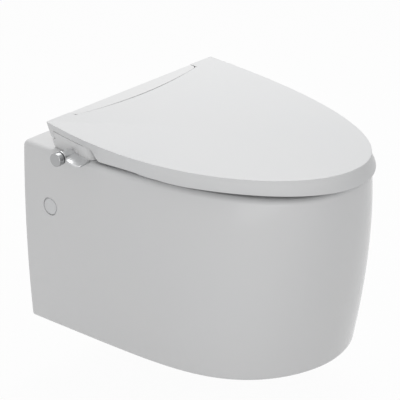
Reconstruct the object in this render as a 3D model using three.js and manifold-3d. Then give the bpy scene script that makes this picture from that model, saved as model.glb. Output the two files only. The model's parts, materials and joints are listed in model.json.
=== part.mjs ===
// A wall hung toilet pan with a water powered bidet seat, in millimetres, +Z up.
// The origin is on the wall plane, on the centre line, at the height of the two wall studs.
// The pan reaches out from the wall along -Y. Right and left are those of a seated user,
// so the right side of the pan is at -X.

import * as THREE from 'three';
import { mergeVertices } from 'three/addons/utils/BufferGeometryUtils.js';
import Module from 'manifold-3d';

const wasm = await Module();
wasm.setup();

// Clearances and cutting overruns shared by every piece
const GAP = 0.3;
const RUNNING_GAP = 0.3;
const OVERRUN = 4;
const SEAM = 0.6;
const HALF_SHARE = 0.5;

// Pan: the outline is given at the rim and at the foot, and the sides bulge a little in between
const PAN_WIDTH = 373;
const PAN_LENGTH = 501;
const PAN_HEIGHT = 305;
const DECK_Z = 96;
const PAN_FOOT_WIDTH = 352;
const PAN_FOOT_LENGTH = 467;
const PAN_SIDE_TAPER = 5;
const PAN_SIDE_BULGE = 5.2;
const PAN_NOSE_BULGE = 2.8;
const PAN_WALL = 12;
const PAN_DECK = 16;
const RIM_FILLET = 8;
const FOOT_FILLET = 5;
const RIM_NOSE_SHARES = { blunt: 2.8, round: 2.5 };
const FOOT_NOSE_SHARES = { blunt: 5.8, round: 1.85 };
const NOSE_BLUNT_BULGE_SHARE = 1.0;

// Basin: the inside of the bowl, as half width, rear edge and front edge at depths under the rim
const BASIN_WALL = 11;
const BASIN_RIM = { side: 67.5, front: 49 };
const BASIN = {
  halfWidth: PAN_WIDTH * HALF_SHARE - BASIN_RIM.side,
  rear: 150,
  front: PAN_LENGTH - BASIN_RIM.front,
  depth: 206,
  sumpHalfWidth: 34,
  sumpRear: 229,
  sumpFront: 297,
};
const BASIN_ROUND_SHARE = 2.3;
const BASIN_DEPTH_SHARES = [0, 0.1, 0.27, 0.46, 0.66, 0.85, 1];
const BASIN_WIDTH_SHARES = [0.99, 1, 0.87, 0.66, 0.38, 0.14, 0];
const BASIN_REAR_SHARES = [0, 0, 0.04, 0.13, 0.38, 0.7, 1];
const BASIN_FRONT_SHARES = [0, 0, 0.08, 0.27, 0.56, 0.86, 1];

// Trap: a round passage that dips under the water seal, climbs to the weir and leaves at the wall
const TRAP = {
  radius: 33,
  wall: 9,
  bend: 45,
  start: 95,
  dipDrop: 22,
  risingLeg: 27,
  outletZ: -100,
  outletRadius: 45,
  outletDepth: 28,
};

// Flush inlet and the flat web of the rear face, which meets the wall
const INLET = { z: 35, radius: 27.5, throat: 20, wall: 9, sealDepth: 32 };
const WEB = { halfWidth: 62, thick: 14 };
const SEAL_WALL = 6.5;

// Hidden wall fixing: a block on each stud, and a side screw through the pan into it
const STUD_SPACING = 180;
const STUD_NUT = { across: 19, bore: 6.3, thick: 10, flange: 13, flangeThick: 2.5 };
const SIDE_HOLE = { y: 57, radius: 14.6, depth: 7, bore: 5.5 };
const SIDE_CAP = { thick: 3, pegRadius: 10.2, pegLength: 2.2 };
const SIDE_SCREW = { radius: 4, head: 9, headThick: 1.2, length: 72 };
const BLOCK = {
  webGap: 4,
  width: 66,
  height: 60,
  plate: 12,
  bossWidth: 26,
  bossHeight: 34,
  bossFront: 72,
};

// Seat fixing on the deck
const SEAT_BOLT = {
  spacing: 155,
  y: 91,
  hole: 7.5,
  radius: 3.9,
  head: 8,
  headThick: 3.4,
  headDraft: 0.8,
  slot: 1.6,
  length: 44,
};
const EXPANSION = { bulge: 10.5, bulgeLength: 20, taper: 1.8 };
const PLATE = { halfWidth: 98, rear: 68, front: 118, thick: 3 };

// Lid: a crease line with a skirt below it and a gently crowned top
const LID_REAR = 57;
const LID_OVERHANG = { side: 5.3, nose: 10 };
const LID = {
  halfWidth: PAN_WIDTH * HALF_SHARE + LID_OVERHANG.side,
  taper: 3.6,
  bow: 10.7,
  rear: LID_REAR,
  length: PAN_LENGTH + LID_OVERHANG.nose - LID_REAR,
  rearTop: 47.9,
  noseTop: 33.4,
  sag: 8.2,
  crown: 8,
  flare: 8,
  wall: 3.2,
  lip: 1.2,
  lipInset: 1,
  seamDrop: 13.8,
  seamEnd: 138,
  skirtStart: 168,
  skirtBottom: 11,
  noseBottom: 8.5,
  flareStart: 300,
};
const LID_SHARES = { blunt: 2.24, round: 2.09, draft: 0.37, middle: 0.5, flarePower: 4 };
const CROWN_SCALE_SHARES = [1, 0.93, 0.82, 0.64, 0.4, 0.15];
const LID_UNDERCUT = { forward: 10, depth: 4 };
const TAB = { front: 66, step: 0.2, bottom: 19, relief: 60.5, reliefDrop: 2 };

// Housing of the bidet works: a tray with sloping side panels, and a cover with a raised strip
const TRAY = {
  rear: 57.5,
  front: 143,
  thick: 2.5,
  wall: 2.6,
  cornerRadius: 14,
  foot: 0.8,
  mouthRear: 124,
};
const CRADLE = { wall: 2.6, rear: 64, front: 118, top: 18, backTop: 24 };
const COVER_INSET = 45.8;
const COVER = {
  halfWidth: LID.halfWidth - COVER_INSET,
  rear: 57.3,
  front: 150,
  wall: 2.5,
  shoulder: 40,
  frontTop: 33,
  mouth: 24,
  mouthTop: 15,
};
const STRIP_INSET = 5;
const STRIP = {
  halfWidth: COVER.halfWidth - STRIP_INSET,
  top: 47.2,
  endFront: 73,
  middleFront: 86,
  endRadius: 12,
  draft: 3,
};
const STRIP_END_RELIEF_SHARE = 0.25;

// Hinge line of lid and seat, low at the rear of the housing. Outward from the cover stand the
// inner bracket, the seat's arm, the lid's plate and the outer bracket, with play between them.
const HINGE = { y: 62, z: 14, pin: 2.5, knuckle: 4.2, bracket: 3, play: 1, platePlay: 3 };
const SEAT_ARM_THICK = 10;
const LID_PLATE_THICK = 7;
const PIN_INNER = COVER.halfWidth + HINGE.play;
const SEAT_ARM_INNER = PIN_INNER + HINGE.bracket + HINGE.play;
const SEAT_ARM_OUTER = SEAT_ARM_INNER + SEAT_ARM_THICK;
const LID_PLATE_INNER = SEAT_ARM_OUTER + HINGE.platePlay;
const LID_PLATE_OUTER = LID_PLATE_INNER + LID_PLATE_THICK;
const PIN_OUTER = LID_PLATE_OUTER + HINGE.play + HINGE.bracket;
const LID_HINGE = { plateFront: 78, wall: 2.4, wallBottom: 25 };

// Seat ring with its two hinge arms, drawn in from the lid's outline
const SEAT_OVER_BASIN = { side: 15, front: 6 };
const SEAT_BEHIND_COVER = 13;
const SEAT = {
  inset: 8,
  rearInset: 18,
  insetFade: 100,
  corner: 26,
  rear: COVER.front + SEAT_BEHIND_COVER,
  bottom: 6.5,
  top: 24.5,
  openHalf: BASIN.halfWidth - SEAT_OVER_BASIN.side,
  openRear: 192,
  openFront: BASIN.front - SEAT_OVER_BASIN.front,
};
const SEAT_OPEN_ROUND_SHARE = 2.3;
const SEAT_CORNER_SHARES = [0.004, 0.015, 0.032, 0.055];
const SEAT_SECTION_SHARES = [
  [0.06, 0],
  [0, 0.25],
  [0, 0.7],
  [0.07, 0.93],
  [0.25, 1],
  [0.72, 1],
  [0.93, 0.9],
  [1, 0.65],
  [1, 0.3],
  [0.93, 0],
];
const SEAT_ARM = { bottom: 14, top: 23, reach: 12 };

// Rubber stops, placed by shares of the lid's half width and of the seat's length
const BUMPER = { radius: 7.5, draft: 0.7, lidRadius: 6.5 };
const BUMPER_ROWS = ['rear', 'front'];
const SEAT_BUMPER_SHARES = [[0.82, 0.2], [0.8, 0.74]];
const LID_BUMPER_SHARES = [[0.74, 0.32], [0.64, 0.82]];

// Nozzles slide down and forward into the bowl
const NOZZLE_SLOPE_DEGREES = 18;
const NOZZLE_TIP_INSET = 1;
const NOZZLE = {
  radius: 5.5,
  tipRadius: 3.6,
  tipLength: 5,
  length: 72,
  spacing: 19,
  tipY: COVER.front - NOZZLE_TIP_INSET,
  tipZ: 7.6,
  passage: 2,
};
const NOZZLE_JET = { radius: 1.1, inset: 9 };
const NOZZLE_BLOCK = { halfWidth: 20, halfHeight: 7.6, start: 14, behind: 86 };
const NOZZLE_PORTS = { rear: { bore: 78, port: 75 }, bidet: { bore: 84, port: 81.5 } };
const GUARD_OFFSET = 2.6;
const GUARD = {
  halfWidth: 26,
  length: 10.5,
  thick: 1.8,
  knuckle: 2.2,
  pin: 1,
  gap: 0.25,
  hingeY: COVER.front + GUARD_OFFSET,
  hingeZ: 24.5,
  ear: 4,
};

// Control lever, its spindle and the valve that it turns
const LEVER = {
  y: 108.5,
  z: 8,
  clearance: 1.7,
  width: 24,
  hub: 8.6,
  flange: 11.4,
  flangeThick: 1.6,
  reach: 40.2,
  thick: 2.2,
};
const LEVER_TOP_SHARES = [[-0.12, 0.85], [0.16, 0.38], [0.54, 0.22], [1, -0.17]];
const LEVER_CAP = { radius: 10.8, length: 10, neck: 7.6, neckLength: 1.4, edge: 1.2 };
const SPINDLE = { radius: 2.8, spool: 5, spoolLength: 30, inLever: 22 };
const COLLAR = { radius: 7.4, length: 12.4, proud: 5.5 };
const VALVE_SIZE = { width: 40, depth: 35, height: 29.7, coverGap: 1.5 };
const VALVE_OUTER = COVER.halfWidth - COVER.wall - VALVE_SIZE.coverGap;
const VALVE_BOTTOM = 1.3;
const VALVE = {
  inner: VALVE_OUTER - VALVE_SIZE.width,
  outer: VALVE_OUTER,
  rear: LEVER.y - VALVE_SIZE.depth * HALF_SHARE,
  front: LEVER.y + VALVE_SIZE.depth * HALF_SHARE,
  bottom: VALVE_BOTTOM,
  top: VALVE_BOTTOM + VALVE_SIZE.height,
  wall: 4,
  rim: 3,
  outerRim: 1,
  rimThick: 3,
};
const HOSE = { radius: 2.6, bore: 1.5, portRadius: 3.2, port: 4, z: 24, spread: 10, drill: 1 };
const SUPPLY = {
  x: VALVE.outer - VALVE_SIZE.width * HALF_SHARE,
  z: 20,
  radius: 10.2,
  bore: 6.5,
  tail: 15,
  flange: 13,
  flangeThick: 3,
  inside: 8,
  pipeBore: 4,
  port: 6.8,
};
const FILTER = { thick: 1.5, sunk: 2, hole: 1.1, ring: 3.8 };

// Release button in the left side panel
const BUTTON = {
  y: 104,
  z: 16,
  width: 16,
  height: 9,
  proud: 1.5,
  deep: 6,
  stem: 5,
  stemLength: 12,
  travel: 3,
};

// Facet counts
const ROUND = 24;
const FINE_ROUND = 36;
const PIN_SIDES = 12;
const HEX_SIDES = 6;
const FILTER_HOLES = 6;
const SIDE_POINTS = 20;
const NOSE_CROWDING_SHARE = 2.2;
const TRAP_ARC_STEPS = 4;
const TRAP_SIDES = 16;
const STRIP_CORNER_STEPS = 5;
const STRIP_BOW_STEPS = 12;
const PANEL_STEPS = 7;
const SEAT_REAR_POINTS = 11;
const HOSE_STEPS = 12;

// Makes a merged, closed geometry into a solid
function solidOf(geometry) {
  const bare = geometry.index ? geometry.toNonIndexed() : geometry.clone();
  bare.deleteAttribute('normal');
  bare.deleteAttribute('uv');
  const merged = mergeVertices(bare);
  return new wasm.Manifold(new wasm.Mesh({
    numProp: 3,
    vertProperties: new Float32Array(merged.attributes.position.array),
    triVerts: new Uint32Array(merged.index.array),
  }));
}

// Makes a solid back into a geometry
function geometryOf(solid) {
  const mesh = solid.getMesh();
  const geometry = new THREE.BufferGeometry();
  geometry.setAttribute('position', new THREE.BufferAttribute(mesh.vertProperties, 3));
  geometry.setIndex(new THREE.BufferAttribute(mesh.triVerts, 1));
  geometry.computeVertexNormals();
  return geometry;
}

const at = (x, y, z) => new THREE.Vector3(x, y, z);
const mix = (a, b, share) => a + (b - a) * share;
const deck = (height) => DECK_Z + height;
const SIDES = [['right', -1], ['left', 1]];

// Two distances on one side of the middle plane, smaller X first
const spanX = (side, a, b) => [Math.min(side * a, side * b), Math.max(side * a, side * b)];

// A share from 0 to 1 eased at both ends
function eased(share) {
  const t = Math.min(Math.max(share, 0), 1);
  return t * t * (3 - 2 * t);
}

// A rectangular block between two opposite corners
function block(low, high) {
  const size = high.clone().sub(low);
  const middle = high.clone().add(low).multiplyScalar(HALF_SHARE);
  const shape = new THREE.BoxGeometry(size.x, size.y, size.z);
  shape.translate(middle.x, middle.y, middle.z);
  return solidOf(shape);
}

// A round rod from one point to another, with an optional other radius at its end
function rod(start, end, radius, endRadius = radius, sides = ROUND) {
  const span = end.clone().sub(start);
  const shape = new THREE.CylinderGeometry(endRadius, radius, span.length(), sides);
  shape.applyQuaternion(new THREE.Quaternion().setFromUnitVectors(at(0, 1, 0), span.normalize()));
  const middle = end.clone().add(start).multiplyScalar(HALF_SHARE);
  shape.translate(middle.x, middle.y, middle.z);
  return solidOf(shape);
}

// A plate whose outline is given in Y and Z, from one X to another
function sidePlate(outline, fromX, toX) {
  const shape = new THREE.Shape(outline.map(([y, z]) => new THREE.Vector2(y, z)));
  const plate = new THREE.ExtrudeGeometry(shape, { depth: toX - fromX, bevelEnabled: false });
  plate.applyMatrix4(new THREE.Matrix4().makeBasis(at(0, 1, 0), at(0, 0, 1), at(1, 0, 0)));
  plate.translate(fromX, 0, 0);
  return solidOf(plate);
}

// A skin over rings of equal point count, each running round anticlockwise seen from above.
// The first and last ring get a cap, unless the skin closes on itself.
function loft(rings, closesOnItself = false) {
  const count = rings[0].length;
  const places = rings.flat().flatMap((p) => [p.x, p.y, p.z]);
  const faces = [];
  const bands = closesOnItself ? rings.length : rings.length - 1;
  for (let k = 0; k < bands; k += 1) {
    const low = k * count;
    const high = ((k + 1) % rings.length) * count;
    for (let i = 0; i < count; i += 1) {
      const j = (i + 1) % count;
      faces.push(low + i, low + j, high + j, low + i, high + j, high + i);
    }
  }
  if (!closesOnItself) {
    const top = (rings.length - 1) * count;
    for (const [a, b, c] of THREE.ShapeUtils.triangulateShape(rings[0], [])) {
      faces.push(a, c, b);
    }
    for (const [a, b, c] of THREE.ShapeUtils.triangulateShape(rings[rings.length - 1], [])) {
      faces.push(top + a, top + b, top + c);
    }
  }
  const geometry = new THREE.BufferGeometry();
  geometry.setAttribute('position', new THREE.Float32BufferAttribute(places, 3));
  geometry.setIndex(faces);
  return solidOf(geometry);
}

// A round skin along points. Its first cross direction is the reference, squared to the path.
function tube(points, radius, reference, endOverrun = 0, sides = ROUND) {
  const last = points.length - 1;
  const places = [];
  points.forEach((point, i) => {
    const before = points[Math.max(i - 1, 0)];
    const after = points[Math.min(i + 1, last)];
    const along = after.clone().sub(before).normalize();
    const across = reference.clone().addScaledVector(along, -along.dot(reference)).normalize();
    const up = along.clone().cross(across);
    const centre = point.clone().addScaledVector(along, i === last ? endOverrun : 0);
    for (let k = 0; k < sides; k += 1) {
      const angle = (k / sides) * Math.PI * 2;
      const spot = centre.clone().addScaledVector(across, Math.cos(angle) * radius);
      places.push(spot.addScaledVector(up, Math.sin(angle) * radius));
    }
    if (i === last) places.push(points[0].clone(), centre);
  });
  const faces = [];
  const endRing = last * sides;
  const startMiddle = endRing + sides;
  for (let i = 0; i < sides; i += 1) {
    const j = (i + 1) % sides;
    for (let low = 0; low < endRing; low += sides) {
      faces.push(low + i, low + j, low + sides + j, low + i, low + sides + j, low + sides + i);
    }
    faces.push(startMiddle, j, i);
    faces.push(startMiddle + 1, endRing + i, endRing + j);
  }
  const geometry = new THREE.BufferGeometry();
  const flat = places.flatMap((p) => [p.x, p.y, p.z]);
  geometry.setAttribute('position', new THREE.Float32BufferAttribute(flat, 3));
  geometry.setIndex(faces);
  return solidOf(geometry);
}

// Half width of a plan at share s of its length: it tapers or bows, and closes in a round nose
function halfWidthAt(plan, s) {
  const side = plan.half + plan.taper * s + (plan.bow ?? 0) * 4 * s * (1 - s);
  return side * Math.max(1 - s ** plan.blunt, 0) ** (1 / plan.round);
}

// The outline of a plan, anticlockwise from its rear corner at -X round the nose to +X.
// Points crowd towards the nose, and heightAt gives Z from Y.
function planRing(plan, heightAt, extraShares = [], fromShare = 0) {
  const even = Array.from({ length: SIDE_POINTS + 1 }, (_, i) => i / SIDE_POINTS);
  const crowded = even.map((u) => 1 - (1 - u) ** NOSE_CROWDING_SHARE);
  const shares = [...crowded, ...extraShares].sort((a, b) => a - b);
  const right = shares.map((share) => {
    const s = mix(fromShare, 1, share);
    const y = -plan.rear - plan.length * s;
    return at(-halfWidthAt(plan, s), y, heightAt(y));
  });
  const left = right.slice(0, -1).map((p) => at(-p.x, p.y, p.z));
  return [...right, ...left.reverse()];
}

// A plan grown outward by a distance, with its rear edge left in place
function grown(plan, distance) {
  return { ...plan, half: plan.half + distance, length: plan.length + distance };
}

const flatAt = (z) => () => z;

// The pan's outline at a share of its height, 0 at the rim and 1 at the foot
function panPlan(depthShare) {
  const bulge = 4 * depthShare * (1 - depthShare);
  const rim = RIM_NOSE_SHARES;
  const foot = FOOT_NOSE_SHARES;
  return {
    half: mix(PAN_WIDTH, PAN_FOOT_WIDTH, depthShare) * HALF_SHARE + PAN_SIDE_BULGE * bulge,
    taper: PAN_SIDE_TAPER,
    rear: 0,
    length: mix(PAN_LENGTH, PAN_FOOT_LENGTH, depthShare) + PAN_NOSE_BULGE * bulge,
    blunt: mix(rim.blunt, foot.blunt, depthShare) + NOSE_BLUNT_BULGE_SHARE * bulge,
    round: mix(rim.round, foot.round, depthShare),
  };
}

const panShareAt = (z) => (DECK_Z - z) / PAN_HEIGHT;
const PAN_FOOT_Z = DECK_Z - PAN_HEIGHT;
const PAN_LEVEL_SHARES = [0, 0.16, 0.34, 0.52, 0.7, 0.86, 1];
const FILLET_ANGLE_SHARES = [0, 0.33, 0.66, 1];

// The outside of the pan, with rounded rim and foot edges
function panOutside() {
  const rings = [];
  for (const share of FILLET_ANGLE_SHARES) {
    const angle = share * Math.PI * HALF_SHARE;
    const z = PAN_FOOT_Z + FOOT_FILLET * (1 - Math.sin(angle));
    const inset = FOOT_FILLET * (1 - Math.cos(angle));
    rings.unshift(planRing(grown(panPlan(panShareAt(z)), -inset), flatAt(z)));
  }
  for (const share of [...PAN_LEVEL_SHARES].reverse()) {
    const z = mix(DECK_Z - RIM_FILLET, PAN_FOOT_Z + FOOT_FILLET, share);
    if (share < 1) rings.push(planRing(panPlan(panShareAt(z)), flatAt(z)));
  }
  for (const share of FILLET_ANGLE_SHARES.slice(1)) {
    const angle = share * Math.PI * HALF_SHARE;
    const z = DECK_Z - RIM_FILLET * (1 - Math.sin(angle));
    const inset = RIM_FILLET * (1 - Math.cos(angle));
    rings.push(planRing(grown(panPlan(panShareAt(z)), -inset), flatAt(z)));
  }
  return loft(rings);
}

// The hollow between the skirt and the bowl, open at the wall
function panHollow() {
  const low = PAN_FOOT_Z + PAN_WALL;
  const high = DECK_Z - PAN_DECK;
  const rings = PAN_LEVEL_SHARES.map((share) => {
    const z = mix(low, high, share);
    const plan = grown(panPlan(panShareAt(z)), -PAN_WALL);
    return planRing({ ...plan, rear: -OVERRUN, length: plan.length + OVERRUN }, flatAt(z));
  });
  return loft(rings);
}

// A round outline in plan between a rear and a front edge, a superellipse
function ovalRing(half, rear, front, z, roundShare) {
  const middle = (rear + front) * HALF_SHARE;
  const reach = (front - rear) * HALF_SHARE;
  return Array.from({ length: FINE_ROUND }, (_, i) => {
    const angle = (i / FINE_ROUND) * Math.PI * 2;
    const c = Math.cos(angle);
    const s = Math.sin(angle);
    const x = half * Math.sign(c) * Math.abs(c) ** (2 / roundShare);
    const y = -middle + reach * Math.sign(s) * Math.abs(s) ** (2 / roundShare);
    return at(x, y, z);
  });
}

// The bowl's surface, or its outer side when wall is more than zero
function basin(wall, above) {
  const rings = BASIN_DEPTH_SHARES.map((share, i) => {
    const half = mix(BASIN.sumpHalfWidth, BASIN.halfWidth, BASIN_WIDTH_SHARES[i]) + wall;
    const rear = mix(BASIN.rear, BASIN.sumpRear, BASIN_REAR_SHARES[i]) - wall;
    const front = mix(BASIN.front, BASIN.sumpFront, BASIN_FRONT_SHARES[i]) + wall;
    const z = DECK_Z - BASIN.depth * share - (share === 1 ? wall : 0);
    return ovalRing(half, rear, front, share === 0 ? DECK_Z + above : z, BASIN_ROUND_SHARE);
  });
  return loft(rings.reverse());
}

// The centre line of the trap, as a straight leg and four arcs in the middle plane
function trapPath() {
  const bend = TRAP.bend;
  const steps = TRAP_ARC_STEPS;
  const dipY = -(BASIN.sumpRear + BASIN.sumpFront) * HALF_SHARE;
  const dipZ = -TRAP.start - TRAP.dipDrop;
  const legY = dipY + 2 * bend;
  const weirZ = dipZ + TRAP.risingLeg;
  const fall = Math.acos(1 - (weirZ + bend - TRAP.outletZ) / (2 * bend));
  const endY = legY + bend + 2 * bend * Math.sin(fall);
  const points = [at(0, dipY, -TRAP.start)];
  for (let i = 0; i <= 2 * steps; i += 1) {
    const turn = Math.PI * (i / steps) * HALF_SHARE;
    points.push(at(0, dipY + bend * (1 - Math.cos(turn)), dipZ - bend * Math.sin(turn)));
  }
  for (let i = 0; i <= steps; i += 1) {
    const turn = Math.PI * HALF_SHARE * (i / steps);
    points.push(at(0, legY + bend * (1 - Math.cos(turn)), weirZ + bend * Math.sin(turn)));
  }
  for (let i = 1; i <= steps; i += 1) {
    const turn = fall * (i / steps);
    points.push(at(0, legY + bend + bend * Math.sin(turn), weirZ + bend * Math.cos(turn)));
  }
  for (let i = 1; i <= steps; i += 1) {
    const turn = fall * (1 - i / steps);
    points.push(at(0, endY - bend * Math.sin(turn), TRAP.outletZ + bend * (1 - Math.cos(turn))));
  }
  points.push(at(0, 0, TRAP.outletZ));
  return points;
}

// The pan's half width on its outside at a distance from the wall and a height
function panHalfAt(fromWall, z) {
  const plan = panPlan(panShareAt(z));
  return halfWidthAt(plan, fromWall / plan.length);
}

const SIDE_FACE = panHalfAt(SIDE_HOLE.y, 0);

// The hole in a side of the skirt: a seat for the cap, and a smaller bore for the side screw
function sideHole(side) {
  const y = -SIDE_HOLE.y;
  const seat = at(side * (SIDE_FACE - SIDE_HOLE.depth), y, 0);
  const outside = at(side * (SIDE_FACE + OVERRUN), y, 0);
  const inside = at(side * (SIDE_FACE - PAN_WALL - OVERRUN), y, 0);
  return rod(seat, outside, SIDE_HOLE.radius).add(rod(inside, outside, SIDE_HOLE.bore));
}

// The four castings of the pan, which are stuck together before firing: the skirt with the web at
// the wall, the bowl with its rim and deck, the trap passage, and the flush channel
function panCastings() {
  const route = trapPath();
  const fromWall = (z, reach) => [at(0, 0, z), at(0, -reach, z)];
  const intoWall = (z, reach) => [at(0, OVERRUN, z), at(0, -reach, z)];
  const outer = panOutside();
  const web = block(at(-WEB.halfWidth, -WEB.thick, PAN_FOOT_Z), at(WEB.halfWidth, 0, DECK_Z));
  const shell = outer.subtract(panHollow()).add(web).intersect(outer);
  const far = PAN_LENGTH + OVERRUN;
  const rim = block(at(-PAN_WIDTH, -far, DECK_Z - PAN_DECK), at(PAN_WIDTH, OVERRUN, deck(OVERRUN)));
  const bowl = basin(BASIN_WALL, -PAN_DECK * HALF_SHARE);
  const trapReach = TRAP.outletDepth + TRAP.wall;
  const trap = tube(route, TRAP.radius + TRAP.wall, at(1, 0, 0), 0, TRAP_SIDES)
    .add(rod(...fromWall(TRAP.outletZ, trapReach), TRAP.outletRadius + TRAP.wall));
  const inletReach = INLET.sealDepth + INLET.wall;
  const inlet = rod(...fromWall(INLET.z, inletReach), INLET.radius + INLET.wall)
    .add(rod(...fromWall(INLET.z, BASIN.rear), INLET.throat + INLET.wall));
  const trapBore = tube(route, TRAP.radius, at(1, 0, 0), OVERRUN, TRAP_SIDES)
    .add(rod(...intoWall(TRAP.outletZ, TRAP.outletDepth), TRAP.outletRadius));
  const inletBore = rod(...intoWall(INLET.z, BASIN.rear + BASIN_WALL), INLET.throat)
    .add(rod(...intoWall(INLET.z, INLET.sealDepth), INLET.radius));
  let skirt = shell.subtract(rim).subtract(bowl).subtract(trap).subtract(inlet);
  let bowlAndRim = shell.intersect(rim).add(bowl).subtract(basin(0, OVERRUN));
  bowlAndRim = bowlAndRim.subtract(trapBore).subtract(inletBore);
  for (const [, side] of SIDES) {
    const boltAt = (z) => at(side * SEAT_BOLT.spacing * HALF_SHARE, -SEAT_BOLT.y, z);
    const boltHole = rod(boltAt(DECK_Z - PAN_DECK - OVERRUN), boltAt(deck(OVERRUN)), SEAT_BOLT.hole);
    skirt = skirt.subtract(sideHole(side));
    bowlAndRim = bowlAndRim.subtract(boltHole);
  }
  return {
    ceramic_bowl: bowlAndRim,
    ceramic_skirt: skirt,
    ceramic_trapway: trap.subtract(bowl).subtract(trapBore),
    ceramic_flush_channel: inlet.subtract(bowl).subtract(inletBore),
  };
}

// A ring between two radii along Y, from the wall plane forward
function sealRing(z, outer, wall, length) {
  const ring = rod(at(0, 0, z), at(0, -length, z), outer);
  return ring.subtract(rod(at(0, OVERRUN, z), at(0, -length - OVERRUN, z), outer - wall));
}

const inletSeal = () => sealRing(INLET.z, INLET.radius - GAP, SEAL_WALL, INLET.sealDepth - GAP);
const outletSeal = () => sealRing(TRAP.outletZ, TRAP.outletRadius - GAP, SEAL_WALL, TRAP.outletDepth - GAP);

// A cover cap that fills the side hole flush with the ceramic
function sideCap(side) {
  const y = -SIDE_HOLE.y;
  const face = side * SIDE_FACE;
  const back = side * (SIDE_FACE - SIDE_CAP.thick);
  const peg = side * (SIDE_FACE - SIDE_CAP.thick - SIDE_CAP.pegLength);
  const cap = rod(at(back, y, 0), at(face, y, 0), SIDE_HOLE.radius - GAP, undefined, FINE_ROUND);
  return cap.add(rod(at(peg, y, 0), at(face, y, 0), SIDE_CAP.pegRadius));
}

// The side screw: its wide head rests in the hole and its shank reaches the fixing block
function sideScrew(side) {
  const y = -SIDE_HOLE.y;
  const seat = SIDE_FACE - SIDE_HOLE.depth + GAP;
  const headTop = at(side * (seat + SIDE_SCREW.headThick), y, 0);
  const head = rod(at(side * seat, y, 0), headTop, SIDE_SCREW.head);
  return head.add(rod(at(side * (seat - SIDE_SCREW.length), y, 0), headTop, SIDE_SCREW.radius));
}

// The plastic block that stands on a wall stud: a plate with a boss for the side screw
function fixingBlock(side) {
  const inner = WEB.halfWidth + BLOCK.webGap;
  const outer = inner + BLOCK.width;
  const halfHigh = BLOCK.height * HALF_SHARE;
  const bossHalf = BLOCK.bossHeight * HALF_SHARE;
  const studX = side * STUD_SPACING * HALF_SHARE;
  const [plateLow, plateHigh] = spanX(side, inner, outer);
  const [bossLow, bossHigh] = spanX(side, outer - BLOCK.bossWidth, outer);
  let body = block(at(plateLow, -BLOCK.plate, -halfHigh), at(plateHigh, -GAP, halfHigh));
  body = body.add(block(at(bossLow, -BLOCK.bossFront, -bossHalf), at(bossHigh, -GAP, bossHalf)));
  body = body.subtract(rod(at(studX, OVERRUN, 0), at(studX, -BLOCK.plate - OVERRUN, 0), STUD_NUT.bore));
  const holeStart = at(side * (outer - BLOCK.bossWidth - OVERRUN), -SIDE_HOLE.y, 0);
  const holeEnd = at(side * (outer + OVERRUN), -SIDE_HOLE.y, 0);
  return body.subtract(rod(holeStart, holeEnd, SIDE_SCREW.radius + RUNNING_GAP));
}

// A flanged nut on the wall stud
function studNut(side) {
  const x = side * STUD_SPACING * HALF_SHARE;
  const seat = -BLOCK.plate - GAP;
  const flangeEnd = seat - STUD_NUT.flangeThick;
  const corner = (STUD_NUT.across * HALF_SHARE) / Math.cos(Math.PI / HEX_SIDES);
  const flange = rod(at(x, seat, 0), at(x, flangeEnd, 0), STUD_NUT.flange);
  const nut = rod(at(x, seat, 0), at(x, flangeEnd - STUD_NUT.thick, 0), corner, corner, HEX_SIDES);
  const hole = rod(at(x, OVERRUN, 0), at(x, flangeEnd - STUD_NUT.thick - OVERRUN, 0), STUD_NUT.bore);
  return flange.add(nut).subtract(hole);
}

// Heights of the stacked parts over the deck
const PLATE_LOW = deck(GAP);
const PLATE_TOP = PLATE_LOW + PLATE.thick;
const TRAY_LOW = PLATE_TOP + GAP;
const TRAY_TOP = TRAY_LOW + TRAY.thick;
const COVER_LOW = TRAY_TOP + GAP;
const BOLT_X = SEAT_BOLT.spacing * HALF_SHARE;

// The plate screwed to the deck, which the bidet seat snaps on to
function mountingPlate() {
  const low = at(-PLATE.halfWidth, -PLATE.front, PLATE_LOW);
  const high = at(PLATE.halfWidth, -PLATE.rear, PLATE_TOP);
  let plate = block(low, high);
  for (const [, side] of SIDES) {
    const x = side * BOLT_X;
    const y = -SEAT_BOLT.y;
    const hole = SEAT_BOLT.radius + RUNNING_GAP;
    plate = plate.subtract(rod(at(x, y, PLATE_LOW - OVERRUN), at(x, y, PLATE_TOP + OVERRUN), hole));
  }
  return plate;
}

function plateBolt(side) {
  const x = side * BOLT_X;
  const y = -SEAT_BOLT.y;
  const seat = PLATE_TOP + GAP;
  const top = seat + SEAT_BOLT.headThick;
  const bolt = rod(at(x, y, seat), at(x, y, top), SEAT_BOLT.head, SEAT_BOLT.head - SEAT_BOLT.headDraft)
    .add(rod(at(x, y, seat - SEAT_BOLT.length), at(x, y, top), SEAT_BOLT.radius));
  const slotHalf = SEAT_BOLT.slot * HALF_SHARE;
  const slotLow = at(x - SEAT_BOLT.head, y - slotHalf, top - SEAT_BOLT.slot);
  return bolt.subtract(block(slotLow, at(x + SEAT_BOLT.head, y + slotHalf, top + OVERRUN)));
}

// The rubber nut that swells under the deck when its bolt is tightened
function expansionNut(side) {
  const x = side * BOLT_X;
  const y = -SEAT_BOLT.y;
  const under = DECK_Z - PAN_DECK - GAP;
  const low = under - EXPANSION.bulgeLength;
  const nut = rod(at(x, y, low), at(x, y, DECK_Z), SEAT_BOLT.hole - GAP)
    .add(rod(at(x, y, low), at(x, y, under), EXPANSION.bulge - EXPANSION.taper, EXPANSION.bulge));
  const bore = SEAT_BOLT.radius + RUNNING_GAP;
  return nut.subtract(rod(at(x, y, low - OVERRUN), at(x, y, deck(OVERRUN)), bore));
}

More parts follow.
